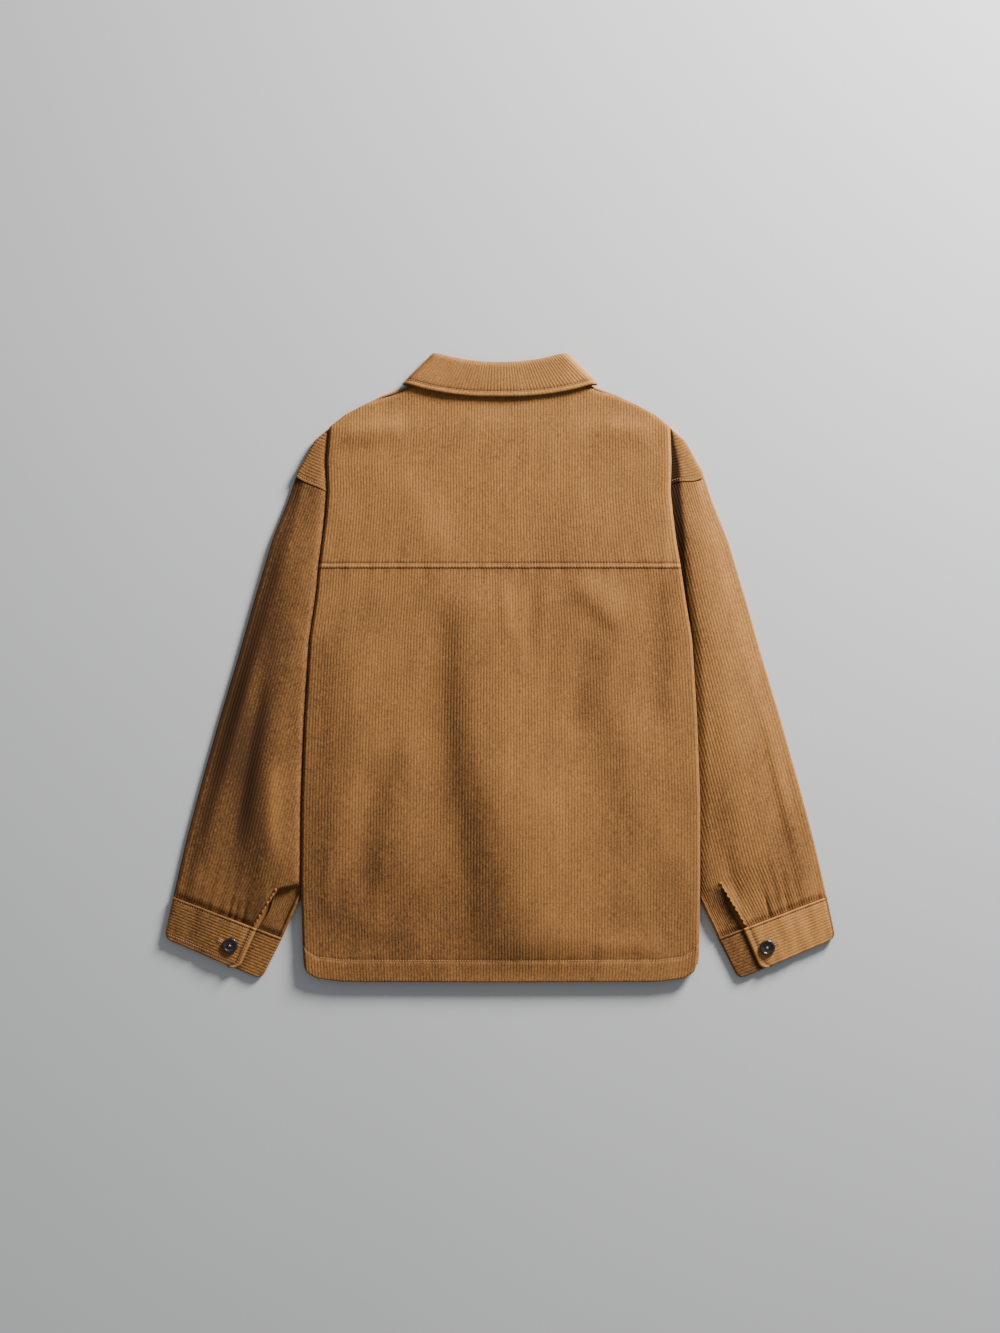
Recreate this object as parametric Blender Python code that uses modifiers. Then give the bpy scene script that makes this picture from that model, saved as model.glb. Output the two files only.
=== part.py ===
"""Corduroy shirt-jacket laid out flat on a surface, back upwards, collar towards +Y.

The pieces are the ones a maker cuts and sews: back, back yoke, two fronts, two drop-shoulder
pieces, two sleeves with a cuff slit, two cuffs, collar stand, collar fall and the buttons.
Every cloth piece is an open surface, worked out in millimetres from the sizes below and given
its wall by a Solidify modifier. The wearer's left is at -X. Z = 0 is the surface it lies on.
"""
import math

import bpy
import numpy as np

MM = 0.001

# Cloth and seams
WALL = 2.0
COLLAR_WALL = 2.4
SEAM_GAP = 0.3
EDGE_RADIUS = 5.0
EDGE_STEPS = 2
TUBE_ROLL_STEPS = 3
RIM_GAP = 0.8

# Side folds of the body: height on the body, left fold, right fold
BODY_EDGE = (
    (285.0, -204.5, 204.0),
    (248.0, -208.0, 205.5),
    (210.0, -206.5, 204.5),
    (182.0, -208.8, 207.6),
    (153.0, -212.4, 211.2),
    (119.0, -217.0, 217.0),
    (88.0, -219.8, 221.4),
    (33.0, -228.0, 230.4),
    (-63.0, -234.0, 236.4),
    (-159.0, -237.6, 240.0),
    (-255.0, -238.8, 240.0),
    (-344.0, -236.4, 238.8),
    (-378.0, -233.5, 235.0),
)
# Bottom of the hem: distance from the middle as a share of the half width, height
HEM_EDGE = ((0.0, -377.5), (0.80, -376.8), (0.93, -373.0), (0.985, -365.0), (1.0, -356.0))
HEM_HALF_WIDTH = 236.0
HEM_DEPTH = 25.0
HEM_SWELL = 0.8
YOKE_SEAM_Y = 119.0
YOKE_STEP = 0.9

# Shoulder line, from the neck point outwards: distance from the middle, height
SHOULDER_EDGE = ((90.0, 347.0), (115.0, 335.6), (142.0, 325.8), (165.0, 314.5), (186.0, 303.0), (204.5, 288.5))
NECK_POINT_X = 90.0
# Half widths at the shoulder and at mid height, and the length over which the shoulder roll sets in
SHOULDER_HALF_WIDTH = 204.5
MIDDLE_HALF_WIDTH = 230.0
SHOULDER_BLEND = 14.0
# Front neckline: distance from the middle, height
FRONT_NECK = ((0.0, 260.0), (15.0, 263.0), (30.0, 273.0), (50.0, 292.0), (70.0, 317.0), (90.0, 347.0))
BACK_NECK_MID = 341.0

# Front closing: the wearer's left front laps over the right one
LEFT_FRONT_EDGE = 18.0
RIGHT_FRONT_EDGE = -16.0
PLACKET_FLAT = 24.0
PLACKET_RAMP = 60.0

# Rows of a front, as shares of its height, and its columns between one key line and the next, from
# the closing edge to the side fold
FRONT_ROWS = (0.0, 0.03, 0.09, 0.17, 0.25, 0.33, 0.41, 0.49, 0.56, 0.62, 0.68, 0.74, 0.80, 0.85, 0.89,
              0.925, 0.96, 1.0)
FRONT_KEY_STEPS = (1, 1, 6, 1, 1, 3)

# Buttons
BUTTON_RADIUS = 9.4
BUTTON_THICK = 2.6
BUTTON_DISH = 0.6
BUTTON_HOLE_RADIUS = 1.0
BUTTON_HOLE_SPACING = 3.2
BUTTON_SIDES = 14
BUTTON_HOLE_SIDES = 6
FRONT_BUTTON_TOP = 245.0
FRONT_BUTTON_PITCH = 104.0
FRONT_BUTTON_COUNT = 6

# Heights of the layers: the sleeve's hidden part lies under the front, the collar's front leaf too
SLEEVE_FLAT = 5.0
OVER_SLEEVE = SLEEVE_FLAT + SEAM_GAP
PLACKET_LIFT = BUTTON_THICK + SEAM_GAP
OVER_LEAF = COLLAR_WALL + 0.4
INNER_GAP_MIN = 0.7
INNER_GAP_MAX = 3.7
BACK_LEVEL = 5.5
SIDE_RISE = 3.5
# The front starts to rise over the sleeve this far before its hidden fold, and is up this far before
FRONT_RISE_START = 42.0
FRONT_RISE_END = 12.0
BACK_RISE_START = 70.0
LEAF_RISE_START = 42.0
LEAF_RISE_END = 14.0

# Sleeve (left one; the right one mirrors it): outer fold line and hidden inner fold line
SLEEVE_OUTER = (
    (228.6, -245.4),
    (201.0, -254.4),
    (153.0, -273.6),
    (81.0, -295.2),
    (9.0, -315.6),
    (-63.0, -337.2),
    (-135.0, -357.6),
    (-207.0, -376.8),
    (-260.0, -389.0),
    (-275.0, -392.4),
)
SLEEVE_INNER_TOP = (-72.0, 81.0)
SLEEVE_INNER_END = (-262.0, -324.6)
SLEEVE_SWELL = 2.5
SLEEVE_ROLL = 3.0
# The upper face starts to swell this far outside the body, and is up this far outside it
SWELL_START = 10.0
SWELL_END = 26.0

# Drop-shoulder piece: outer fold from the shoulder to the armhole seam, and its hidden inner end
DROP_OUTER = ((284.0, -209.0), (273.0, -222.0), (261.0, -229.2), (249.0, -235.2), (237.0, -242.4), (229.4, -245.2))
DROP_INNER_TOP = (-188.0, 279.0)
DROP_INNER_END = (-196.0, 187.7)

# Cuff: corners of the flattened band on the left sleeve
CUFF_TOP_OUTER = (-392.4, -275.4)
CUFF_TOP_INNER = (-262.0, -325.0)
CUFF_BOTTOM_OUTER = (-403.0, -325.0)
CUFF_BOTTOM_INNER = (-287.0, -374.5)
CUFF_WIDTH = 130.0
CUFF_ROLL = 2.9
CUFF_LAP_END = 0.77
CUFF_UNDERLAP_END = 0.50
CUFF_UNDERLAP_TOP = 4.8
CUFF_LAP_TOP = 7.1
CUFF_TOP = 5.2
CUFF_BUTTON = (-324.0, -333.6)

# Slit of the sleeve above the cuff, in its upper layer
SLIT_FOOT = (-295.2, -322.2)
SLIT_HEAD = (-265.2, -264.6)
SLIT_FOOT_WIDTH = 6.0
SLIT_HEAD_WIDTH = 1.6

# Collar: side corner and tip, then fold line and free edge from there to the middle of the back,
# and the leaf under the front
COLLAR_CORNER = (-80.4, 377.4)
COLLAR_SIDE_TIP = (-117.4, 340.4)
COLLAR_TOP_EDGE = ((-45.0, 373.2), (-6.0, 367.2))
COLLAR_FREE_EDGE = ((-60.0, 330.0), (-6.0, 325.8))
LEAF_NECK = (-6.0, 277.8)
LEAF_POINT = (-60.0, 234.6)
COLLAR_INWARD = np.array([0.73, -0.68])
COLLAR_LEVEL = 11.6
COLLAR_ROLL = 6.0
COLLAR_FOLD_RADIUS = 5.0
STAND_INSET = 5.6
STAND_ROLL = 3.0
STAND_FRONT_BOTTOM = COLLAR_WALL + 0.45
STAND_BACK_TOP = 8.4
STAND_SEAM_GAP = 2.0
# Front part of the stand (left half): place along the neckline, share of the way along the fold
STAND_FRONT_ROWS = ((-5.0, 0.03), (-32.0, 0.27), (-58.0, 0.52), (-77.0, 0.76))
STAND_SIDE_SEAM = (-88.0, 350.5)
STAND_SIDE_UPPER = (-79.3, 367.3)
STAND_MIDDLE_X = -43.0

# Folds of the back: name, line of (x, y) points from its upper to its lower end, half width, height
BACK_FOLDS = (
    ("main trough", ((-60, 112), (-48, -27), (-30, -117), (-12, -207), (-6, -352)), 22.0, -2.2),
    ("main ridge", ((48, 70), (58, -40), (66, -150), (60, -260), (52, -350)), 40.0, 1.2),
    ("left slant", ((-96, -51), (-112, -130), (-128, -210), (-138, -255)), 20.0, 1.3),
    ("right ridge", ((88, 104), (112, 78), (138, 50)), 16.0, 1.5),
    ("right trough", ((102, 30), (96, -40), (88, -90)), 16.0, -1.2),
    ("side trough left", ((-208, 60), (-216, -60), (-218, -200), (-214, -340)), 16.0, -1.2),
    ("side trough right", ((188, 120), (196, 40), (196, -40), (190, -90)), 18.0, -1.2),
    ("side ridge right", ((214, -80), (222, -200), (214, -330)), 16.0, 0.9),
    ("left middle ridge", ((-150, 90), (-160, -20), (-168, -140), (-176, -300)), 26.0, 1.1),
    ("right middle ridge", ((140, -30), (146, -160), (138, -320)), 26.0, 1.2),
)
# Soft folds across the yoke, below the shoulders: name, line of points, half width, height
YOKE_FOLDS = (
    ("left shoulder fold", ((-190, 272), (-150, 280), (-112, 288)), 9.0, 1.0),
    ("left shoulder hollow", ((-192, 256), (-150, 262), (-120, 266)), 10.0, -0.9),
    ("right shoulder fold", ((112, 288), (150, 280), (188, 268)), 9.0, 0.8),
)
# Folds along the sleeve: name, place across (0 outer fold, 1 inner fold) at three points down the
# sleeve, half width as a share of the width, share of the full swell
SLEEVE_FOLDS = (
    ("long crest", (0.62, 0.52, 0.42), 0.15, 1.0),
    ("outer crest", (0.14, 0.16, 0.18), 0.12, 0.8),
    ("inner crest", (0.86, 0.80, 0.72), 0.10, 0.7),
)

CLOTH = (0.33, 0.175, 0.075, 1.0)
BUTTON_COLOUR = (0.035, 0.028, 0.022, 1.0)


def smooth(t):
    """Soft step from 0 to 1."""
    t = np.clip(t, 0.0, 1.0)
    return t * t * (3.0 - 2.0 * t)


def table(rows, key, value=1):
    """Read a table at the keys, straight between its rows, whichever way they run."""
    data = np.array(sorted(rows), dtype=float)
    return np.interp(key, data[:, 0], data[:, value])


def polyline_distance(x, y, line):
    """Distance of each point to a line of straight stretches, and how far along it that is."""
    best = np.full(np.shape(x), 1e9)
    along = np.zeros(np.shape(x))
    lengths = [math.dist(a, b) for a, b in zip(line, line[1:])]
    total = sum(lengths)
    start = 0.0
    for (ax, ay), (bx, by), length in zip(line, line[1:], lengths):
        t = np.clip(((x - ax) * (bx - ax) + (y - ay) * (by - ay)) / length ** 2, 0.0, 1.0)
        distance = np.hypot(x - ax - t * (bx - ax), y - ay - t * (by - ay))
        nearer = distance < best
        best = np.where(nearer, distance, best)
        along = np.where(nearer, (start + t * length) / total, along)
        start += length
    return best, along


def fold_relief(x, y, folds):
    """Sum of soft ridges and troughs, each fading out towards its two ends."""
    relief = np.zeros(np.shape(x))
    for _name, line, half_width, height in folds:
        distance, along = polyline_distance(x, y, line)
        fade = 0.35 + 0.65 * smooth(np.minimum(along, 1.0 - along) / 0.2)
        relief += height * fade * np.exp(-(distance / half_width) ** 2)
    return relief


def sleeve_inner_line(y):
    """Distance from the middle of the sleeve's hidden inner fold, and above it of the armhole."""
    (x_top, y_top), (x_end, y_end) = SLEEVE_INNER_TOP, SLEEVE_INNER_END
    below = -x_top + (y_top - y) * (x_top - x_end) / (y_top - y_end)
    above = -x_top + (y - y_top) * 0.48
    return np.where(y < y_top, below, above)


def over_sleeve(x, y, start=FRONT_RISE_START, end=FRONT_RISE_END):
    """0 where a layer lies low, 1 where the hidden part of a sleeve lifts it."""
    return smooth((np.abs(x) - sleeve_inner_line(y) + start) / (start - end))


def over_leaf(x, y):
    """1 where the collar's front leaf lies under the front, fading to 0 around it."""
    reach = np.abs(x)
    (neck_x, neck_y), (point_x, point_y), (tip_x, tip_y) = LEAF_NECK, LEAF_POINT, COLLAR_SIDE_TIP
    front_slope = (point_y - neck_y) / (point_x - neck_x)
    side_slope = (tip_y - point_y) / (tip_x - point_x)
    front_line = (y - neck_y + front_slope * (reach + neck_x)) / math.hypot(1.0, front_slope)
    side_line = (y - point_y + side_slope * (reach + point_x)) / math.hypot(1.0, side_slope)
    inside = np.minimum(front_line, side_line)
    return smooth((inside + LEAF_RISE_START) / (LEAF_RISE_START - LEAF_RISE_END))


def placket(x, y):
    """1 on the strip where the fronts lap, fading to 0 beside it and above the neckline."""
    strip = smooth((PLACKET_FLAT + PLACKET_RAMP - np.abs(x)) / PLACKET_RAMP)
    return strip * smooth((LEAF_NECK[1] + 30.0 - y) / 30.0)


def front_under(x, y):
    """Height of the underside of the fronts."""
    lift = np.maximum(OVER_SLEEVE * over_sleeve(x, y), OVER_LEAF * over_leaf(x, y))
    return np.maximum(lift, PLACKET_LIFT * placket(x, y))


def back_top(x, y):
    """Height of the upper face of the back and yoke, with the main folds."""
    under = front_under(x, y) + WALL + (WALL + SEAM_GAP) * placket(x, y)
    hem = HEM_SWELL * smooth((HEM_DEPTH + table(HEM_EDGE, 0.0) - y) / 4.0)
    seam_dip = -YOKE_STEP * np.exp(-np.abs(YOKE_SEAM_Y - y) / 14.0) * (y < YOKE_SEAM_Y)
    relief = fold_relief(x, y, BACK_FOLDS) * smooth((YOKE_SEAM_Y + 8.0 - y) / 30.0)
    relief += fold_relief(x, y, YOKE_FOLDS) * (y > YOKE_SEAM_Y)
    wanted = BACK_LEVEL + SIDE_RISE * over_sleeve(x, y, BACK_RISE_START, 0.0) + relief + hem + seam_dip
    gap = np.clip(wanted - under, INNER_GAP_MIN, INNER_GAP_MAX)
    return under + gap + WALL


def body_left(y):
    """Left side fold of the body."""
    return table(BODY_EDGE, y, 1)


def body_right(y):
    """Right side fold of the body."""
    return table(BODY_EDGE, y, 2)


def hem_line(x):
    """Lower edge of the hem, with its rounded corners."""
    return table(HEM_EDGE, np.abs(x) / HEM_HALF_WIDTH)


def shoulder_line(x):
    """Shoulder fold, from the neck point outwards."""
    return table(SHOULDER_EDGE, np.abs(x))


def back_neck_line(x):
    """Upper edge of the yoke: a shallow neck curve between the shoulders."""
    reach = np.abs(x)
    rise = table(SHOULDER_EDGE, NECK_POINT_X) - BACK_NECK_MID
    neck = BACK_NECK_MID + rise * (np.minimum(reach, NECK_POINT_X) / NECK_POINT_X) ** 2
    return np.where(reach < NECK_POINT_X, neck, shoulder_line(x))


def front_neck_line(x):
    """Upper edge of a front: its neckline, then the shoulder."""
    return np.where(np.abs(x) < NECK_POINT_X, table(FRONT_NECK, np.abs(x)), shoulder_line(x))


def spread(count, start_roll, end_roll, radius=EDGE_RADIUS):
    """Stations across a piece: share of the way, offset in mm, and how far the edge has rolled."""
    angles = np.linspace(0.0, math.pi / 2, EDGE_STEPS + 1)[:-1]
    roll_offset = radius * (1.0 - np.cos(angles))
    roll_height = np.sin(angles)
    share = np.linspace(0.0, 1.0, count)
    offset = np.zeros(count)
    rolled = np.ones(count)
    if start_roll:
        offset[0] = radius
        share = np.concatenate([0.0 * roll_offset, share])
        offset = np.concatenate([roll_offset, offset])
        rolled = np.concatenate([roll_height, rolled])
    if end_roll:
        offset[-1] = -radius
        share = np.concatenate([share, 0.0 * roll_offset + 1.0])
        offset = np.concatenate([offset, -roll_offset[::-1]])
        rolled = np.concatenate([rolled, roll_height[::-1]])
    return share, offset, rolled


def shoulder_rows(x, offset_y, rolled_y):
    """Offset and roll of the rows near the upper edge, where only the shoulders are rolled.

    At the neck the rolled rows stay flat and are evenly spaced.
    """
    rim_rows = EDGE_STEPS + 1
    even = offset_y.copy()
    if rolled_y[-1, 0] < 1.0:
        even[-rim_rows:, 0] = np.linspace(-EDGE_RADIUS, 0.0, rim_rows)
    on_shoulder = smooth((np.abs(x) - NECK_POINT_X) / SHOULDER_BLEND)
    return even + (offset_y - even) * on_shoulder, 1.0 - on_shoulder * (1.0 - rolled_y)


def panel_grid(left, right, bottom, top, columns, rows):
    """Points of a body panel between four edge lines, and how far its rim has rolled at each.

    columns and rows come from spread; left and right are functions of y, bottom and top of x.
    """
    share_x, offset_x, rolled_x = (row[None, :] for row in columns)
    share_y, offset_y, rolled_y = (row[:, None] for row in rows)
    nominal_x = left(0.0) + share_x * (right(0.0) - left(0.0))
    lowest, highest = bottom(nominal_x), top(nominal_x * SHOULDER_HALF_WIDTH / MIDDLE_HALF_WIDTH)
    y = lowest + share_y * (highest - lowest) + offset_y
    x = left(y) + share_x * (right(y) - left(y)) + offset_x
    offset, turned = shoulder_rows(x, offset_y, rolled_y)
    y = bottom(x) + share_y * (top(x) - bottom(x)) + offset
    return x, y, rolled_x * turned


def edge_height(x, y):
    """Height at which the upper and lower layers meet round the body's rim."""
    return 0.5 * (front_under(x, y) + back_top(x, y))


def back_face(x, y, rolled):
    """Upper face of the back, turned down at the rim until its inner face nears the middle."""
    top = back_top(x, y)
    at_rim = np.minimum(top, edge_height(x, y) + 0.5 * RIM_GAP + WALL)
    return top + (at_rim - top) * (1.0 - rolled)


def front_face(x, y, under, rolled):
    """Lower face of a front, turned up at the rim until its inner face nears the middle."""
    at_rim = np.maximum(under, edge_height(x, y) - 0.5 * RIM_GAP - WALL)
    return under + (at_rim - under) * (1.0 - rolled)


def grid_mesh(name, points, closed=False, flip=False):
    """Mesh of a grid of points in mm (rows, columns, 3), joined round the columns if closed."""
    row_count, column_count = points.shape[:2]
    index = np.arange(row_count * column_count).reshape(row_count, column_count)
    after = np.roll(index, -1, axis=1) if closed else index[:, 1:]
    here = index if closed else index[:, :-1]
    faces = np.stack([here[:-1], after[:-1], after[1:], here[1:]], axis=-1).reshape(-1, 4)
    if flip:
        faces = faces[:, ::-1]
    mesh = bpy.data.meshes.new(name)
    mesh.from_pydata((points.reshape(-1, 3) * MM).tolist(), [], faces.tolist())
    mesh.validate()
    mesh.shade_smooth()
    mesh.set_sharp_from_angle(angle=math.radians(40.0))
    return mesh


def material(name, colour, roughness):
    """Plain surface of one colour."""
    made = bpy.data.materials.new(name)
    made.use_nodes = True
    shader = made.node_tree.nodes["Principled BSDF"]
    shader.inputs["Base Color"].default_value = colour
    shader.inputs["Roughness"].default_value = roughness
    shader.inputs["Metallic"].default_value = 0.0
    return made


class Jacket:
    """Collections and materials of the jacket, and the functions that add its pieces."""

    def __init__(self):
        self.parts = bpy.data.collections.new("shacket")
        self.cutters = bpy.data.collections.new("shacket cutters")
        for collection in (self.parts, self.cutters):
            bpy.context.scene.collection.children.link(collection)
        self.button_mesh = None

    def add(self, name, mesh, colour, roughness):
        """New object in the jacket's collection with its own material."""
        piece = bpy.data.objects.new(name, mesh)
        self.parts.objects.link(piece)
        piece.data.materials.append(material(name, colour, roughness))
        return piece

    def cloth(self, name, points, wall=WALL, closed=False, flip=False):
        """Cloth piece: the outer face is the grid, and the wall goes inwards from it."""
        piece = self.add(name, grid_mesh(name, points, closed, flip), CLOTH, 0.9)
        solid = piece.modifiers.new("wall", "SOLIDIFY")
        solid.thickness = wall * MM
        solid.offset = -1.0
        return piece

    def cutter(self, name, mesh):
        """Wire object that only cuts."""
        guide = bpy.data.objects.new(name, mesh)
        guide.hide_render = True
        guide.display_type = "WIRE"
        self.cutters.objects.link(guide)
        return guide


def stack_grid(x, y, z):
    """One array of points from three."""
    x, y, z = np.broadcast_arrays(x, y, z)
    return np.stack([x, y, z], axis=-1)


def back_pieces(jacket):
    """Back panel and yoke: the upper layer, rolled down to half height at the side folds."""
    columns = spread(26, True, True)
    hem_rows = (0.0, 0.018, 0.046, 0.056)
    shares = np.concatenate([hem_rows, np.linspace(0.10, 1.0, 17)])
    rows = (shares, np.zeros(len(shares)), np.ones(len(shares)))
    rows[1][-1] = -SEAM_GAP
    x, y, rolled = panel_grid(body_left, body_right, hem_line, lambda x: 0 * x + YOKE_SEAM_Y, columns, rows)
    jacket.cloth("back_panel", stack_grid(x, y, back_face(x, y, rolled)))

    rows = spread(9, False, True)
    x, y, rolled = panel_grid(body_left, body_right, lambda x: 0 * x + YOKE_SEAM_Y, back_neck_line, columns, rows)
    jacket.cloth("back_yoke", stack_grid(x, y, back_face(x, y, rolled)))


def front_key_lines(y, closing, side_fold):
    """Key lines of a front, as distances from the middle towards its side, at each height.

    They are the closing edge, the middle, the end of the lap, the start, middle and end of the
    rise over the sleeve, and the start of the side fold.
    """
    edge = side_fold(y)
    rise = sleeve_inner_line(y)
    rise_middle = 0.5 * (FRONT_RISE_START + FRONT_RISE_END)
    return np.stack([
        0 * y - closing,
        0 * y,
        0 * y + PLACKET_FLAT,
        np.clip(rise - FRONT_RISE_START, PLACKET_FLAT + 6.0, edge - 24.0),
        np.clip(rise - rise_middle, PLACKET_FLAT + 21.0, edge - 17.0),
        np.clip(rise - FRONT_RISE_END, PLACKET_FLAT + 36.0, edge - 10.0),
        edge - EDGE_RADIUS,
    ], axis=-1)


def front_grid(closing, side_fold):
    """Points of a front with x as the distance from the middle, and how far its rim has rolled."""
    columns = [np.array([0.0])]
    for key, steps in enumerate(FRONT_KEY_STEPS):
        columns.append(key + np.arange(1, steps + 1) / steps)
    key_place = np.concatenate(columns)
    _share, roll_offset, roll_height = spread(2, False, True)
    share_y, offset_y, rolled_y = (row[:, None] for row in spread(len(FRONT_ROWS), False, True))
    share_y[:len(FRONT_ROWS), 0] = FRONT_ROWS

    def place_columns(y):
        lines = front_key_lines(y, closing, side_fold)
        before = np.minimum(key_place.astype(int), lines.shape[-1] - 2)
        here = np.take_along_axis(lines, before[None, :, None], axis=-1)[..., 0]
        after = np.take_along_axis(lines, before[None, :, None] + 1, axis=-1)[..., 0]
        return here + (key_place - before)[None, :] * (after - here)

    count = len(key_place)
    rolls = len(roll_offset) - 2
    rolled_x = np.concatenate([np.ones(count), roll_height[2:]])[None, :]
    x = np.zeros((len(share_y), count + rolls))
    y = x + share_y
    for _pass in range(3):
        x[:, :count] = place_columns(y[:, :count])
        x[:, count:] = side_fold(y[:, count:]) + roll_offset[None, 2:]
        lowest, highest = hem_line(x), front_neck_line(x)
        offset, turned = shoulder_rows(x, offset_y, rolled_y)
        y = lowest + share_y * (highest - lowest) + offset
    return x, y, rolled_x * turned


def front_pieces(jacket):
    """The two fronts: the lower layer, rolled up to half height at the side and shoulder folds."""
    x, y, rolled = front_grid(LEFT_FRONT_EDGE, lambda y: -body_left(y))
    z = front_face(-x, y, front_under(-x, y), rolled)
    jacket.cloth("front_left", stack_grid(-x, y, z))

    x, y, rolled = front_grid(-RIGHT_FRONT_EDGE, body_right)
    lap = np.where(x < PLACKET_FLAT, 1.0, smooth((PLACKET_FLAT + PLACKET_RAMP - x) / PLACKET_RAMP))
    lapped = front_under(x, y) + (WALL + SEAM_GAP) * lap
    jacket.cloth("front_right", stack_grid(x, y, front_face(x, y, lapped, rolled)), flip=True)


def outside_body(x, y):
    """0 under the body and at its side fold, 1 where the sleeve lies clear of it."""
    return smooth((body_left(y) - x - SWELL_START) / (SWELL_END - SWELL_START))


def sleeve_swell(down, across, x, y):
    """Height of the sleeve's upper face over its flat part, where it lies beside the body."""
    swell = np.zeros(np.shape(across * down))
    for _name, places, half_width, share in SLEEVE_FOLDS:
        centre = np.interp(down, (0.0, 0.5, 1.0), places)
        swell = np.maximum(swell, share * np.exp(-((across - centre) / half_width) ** 2))
    return SLEEVE_SWELL * (0.25 + 0.75 * swell) * outside_body(x, y)


def flat_tube(outer, inner, across_count, under_count, radius, top_height):
    """Closed sections of a flattened tube, row by row between its two fold lines.

    outer and inner are arrays (rows, 2); top_height(share across, x, y) gives the upper face.
    The section runs over the top from the outer to the inner fold, and back underneath.
    """
    width = np.linalg.norm(inner - outer, axis=1)[:, None]
    direction = (inner - outer)[:, None, :] / width[..., None]
    angles = np.linspace(-math.pi / 2, math.pi / 2, 2 * TUBE_ROLL_STEPS - 1)[1:-1]
    flat = np.linspace(0.0, 1.0, across_count)[None, :]
    flat_under = np.linspace(1.0, 0.0, under_count)[None, :]
    along = [
        radius - radius * np.cos(angles)[None, :] + 0 * width,
        radius + flat * (width - 2 * radius),
        width - radius + radius * np.cos(angles)[None, :],
        radius + flat_under * (width - 2 * radius),
    ]
    level = [
        0.5 + 0.5 * np.sin(angles)[None, :] + 0 * width,
        1.0 + 0 * flat + 0 * width,
        0.5 + 0.5 * np.sin(-angles)[None, :] + 0 * width,
        0 * flat_under + 0 * width,
    ]
    along = np.concatenate(along, axis=1)
    level = np.concatenate(level, axis=1)
    place = outer[:, None, :] + direction * along[..., None]
    x, y = place[..., 0], place[..., 1]
    z = level * top_height(along / width, x, y)
    return np.stack([x, y, z], axis=-1)


def mirrored(points, side):
    """The left-hand points, or their mirror image for the right-hand piece."""
    return points * np.array([-side, 1.0, 1.0])


def between(start, end, share):
    """Points on a straight line."""
    return np.array(start)[None, :] + share[:, None] * (np.array(end) - np.array(start))[None, :]


def sleeves(jacket):
    """Flattened sleeves: the upper layer swells beside the body, and a slit opens above the cuff."""
    down = np.linspace(0.0, 1.0, 17)
    outer_y = table(((0.0, SLEEVE_OUTER[0][0]), (1.0, SLEEVE_OUTER[-1][0])), down)
    outer = np.stack([table(SLEEVE_OUTER, outer_y), outer_y], axis=-1)
    inner = between(SLEEVE_INNER_TOP, SLEEVE_INNER_END, down)

    def top_height(across, x, y):
        return SLEEVE_FLAT + sleeve_swell(down[:, None], across, x, y)

    points = flat_tube(outer, inner, 13, 4, SLEEVE_ROLL, top_height)
    for side, word in ((-1, "left"), (1, "right")):
        sleeve = jacket.cloth(f"sleeve_{word}", mirrored(points, side), closed=True, flip=side < 0)
        slit = jacket.cutter(f"slit_{word}", slit_mesh(f"slit_{word}", side))
        cut = sleeve.modifiers.new("slit", "BOOLEAN")
        cut.operation = "DIFFERENCE"
        cut.object = slit


def slit_mesh(name, side):
    """Long wedge, wider at the cuff, that reaches only through the upper layer."""
    foot, head = np.array(SLIT_FOOT), np.array(SLIT_HEAD)
    run = (head - foot) / np.linalg.norm(head - foot)
    across = np.array([run[1], -run[0]])
    foot = foot - run * 4.0
    floor, ceiling = WALL + 0.5, SLEEVE_FLAT + SLEEVE_SWELL + 4.0
    corners = []
    for height in (floor, ceiling):
        for end, width in ((foot, SLIT_FOOT_WIDTH), (head, SLIT_HEAD_WIDTH)):
            for sense in (-0.5, 0.5):
                place = end + across * width * sense
                corners.append((-side * place[0] * MM, place[1] * MM, height * MM))
    bpy.ops.mesh.primitive_cube_add(size=1.0)
    cube = bpy.context.object
    mesh = cube.data
    mesh.name = name
    order = sorted(range(8), key=lambda i: (mesh.vertices[i].co.z, mesh.vertices[i].co.y,
                                            side * -mesh.vertices[i].co.x))
    for corner, i in zip(corners, order):
        mesh.vertices[i].co = corner
    bpy.data.objects.remove(cube)
    return mesh


def drop_shoulders(jacket):
    """Drop-shoulder pieces: folded over the outer edge, their two layers run in under the body."""
    down = np.linspace(0.0, 1.0, 5)
    outer_y = table(((0.0, DROP_OUTER[0][0]), (1.0, DROP_OUTER[-1][0])), down)
    outer = np.stack([table(DROP_OUTER, outer_y), outer_y], axis=-1)
    inner = between(DROP_INNER_TOP, DROP_INNER_END, down)
    width = np.linalg.norm(inner - outer, axis=1)[:, None]
    direction = (inner - outer)[:, None, :] / width[..., None]
    angles = np.linspace(-math.pi / 2, math.pi / 2, 2 * TUBE_ROLL_STEPS - 1)[1:-1]
    flat = np.linspace(0.0, 1.0, 5)[None, :]
    span = width - SLEEVE_ROLL
    along = np.concatenate([SLEEVE_ROLL + flat[:, ::-1] * span,
                            SLEEVE_ROLL - SLEEVE_ROLL * np.cos(angles)[None, :] + 0 * width,
                            SLEEVE_ROLL + flat * span], axis=1)
    level = np.concatenate([0 * flat + 0 * width,
                            0.5 + 0.5 * np.sin(angles)[None, :] + 0 * width,
                            1.0 + 0 * flat + 0 * width], axis=1)
    place = outer[:, None, :] + direction * along[..., None]
    x, y = place[..., 0], place[..., 1]
    z = level * (SLEEVE_FLAT + 0.25 * SLEEVE_SWELL * outside_body(x, y))
    points = np.stack([x, y, z], axis=-1)
    for side, word in ((-1, "left"), (1, "right")):
        jacket.cloth(f"shoulder_drop_{word}", mirrored(points, side), flip=side < 0)


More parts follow.
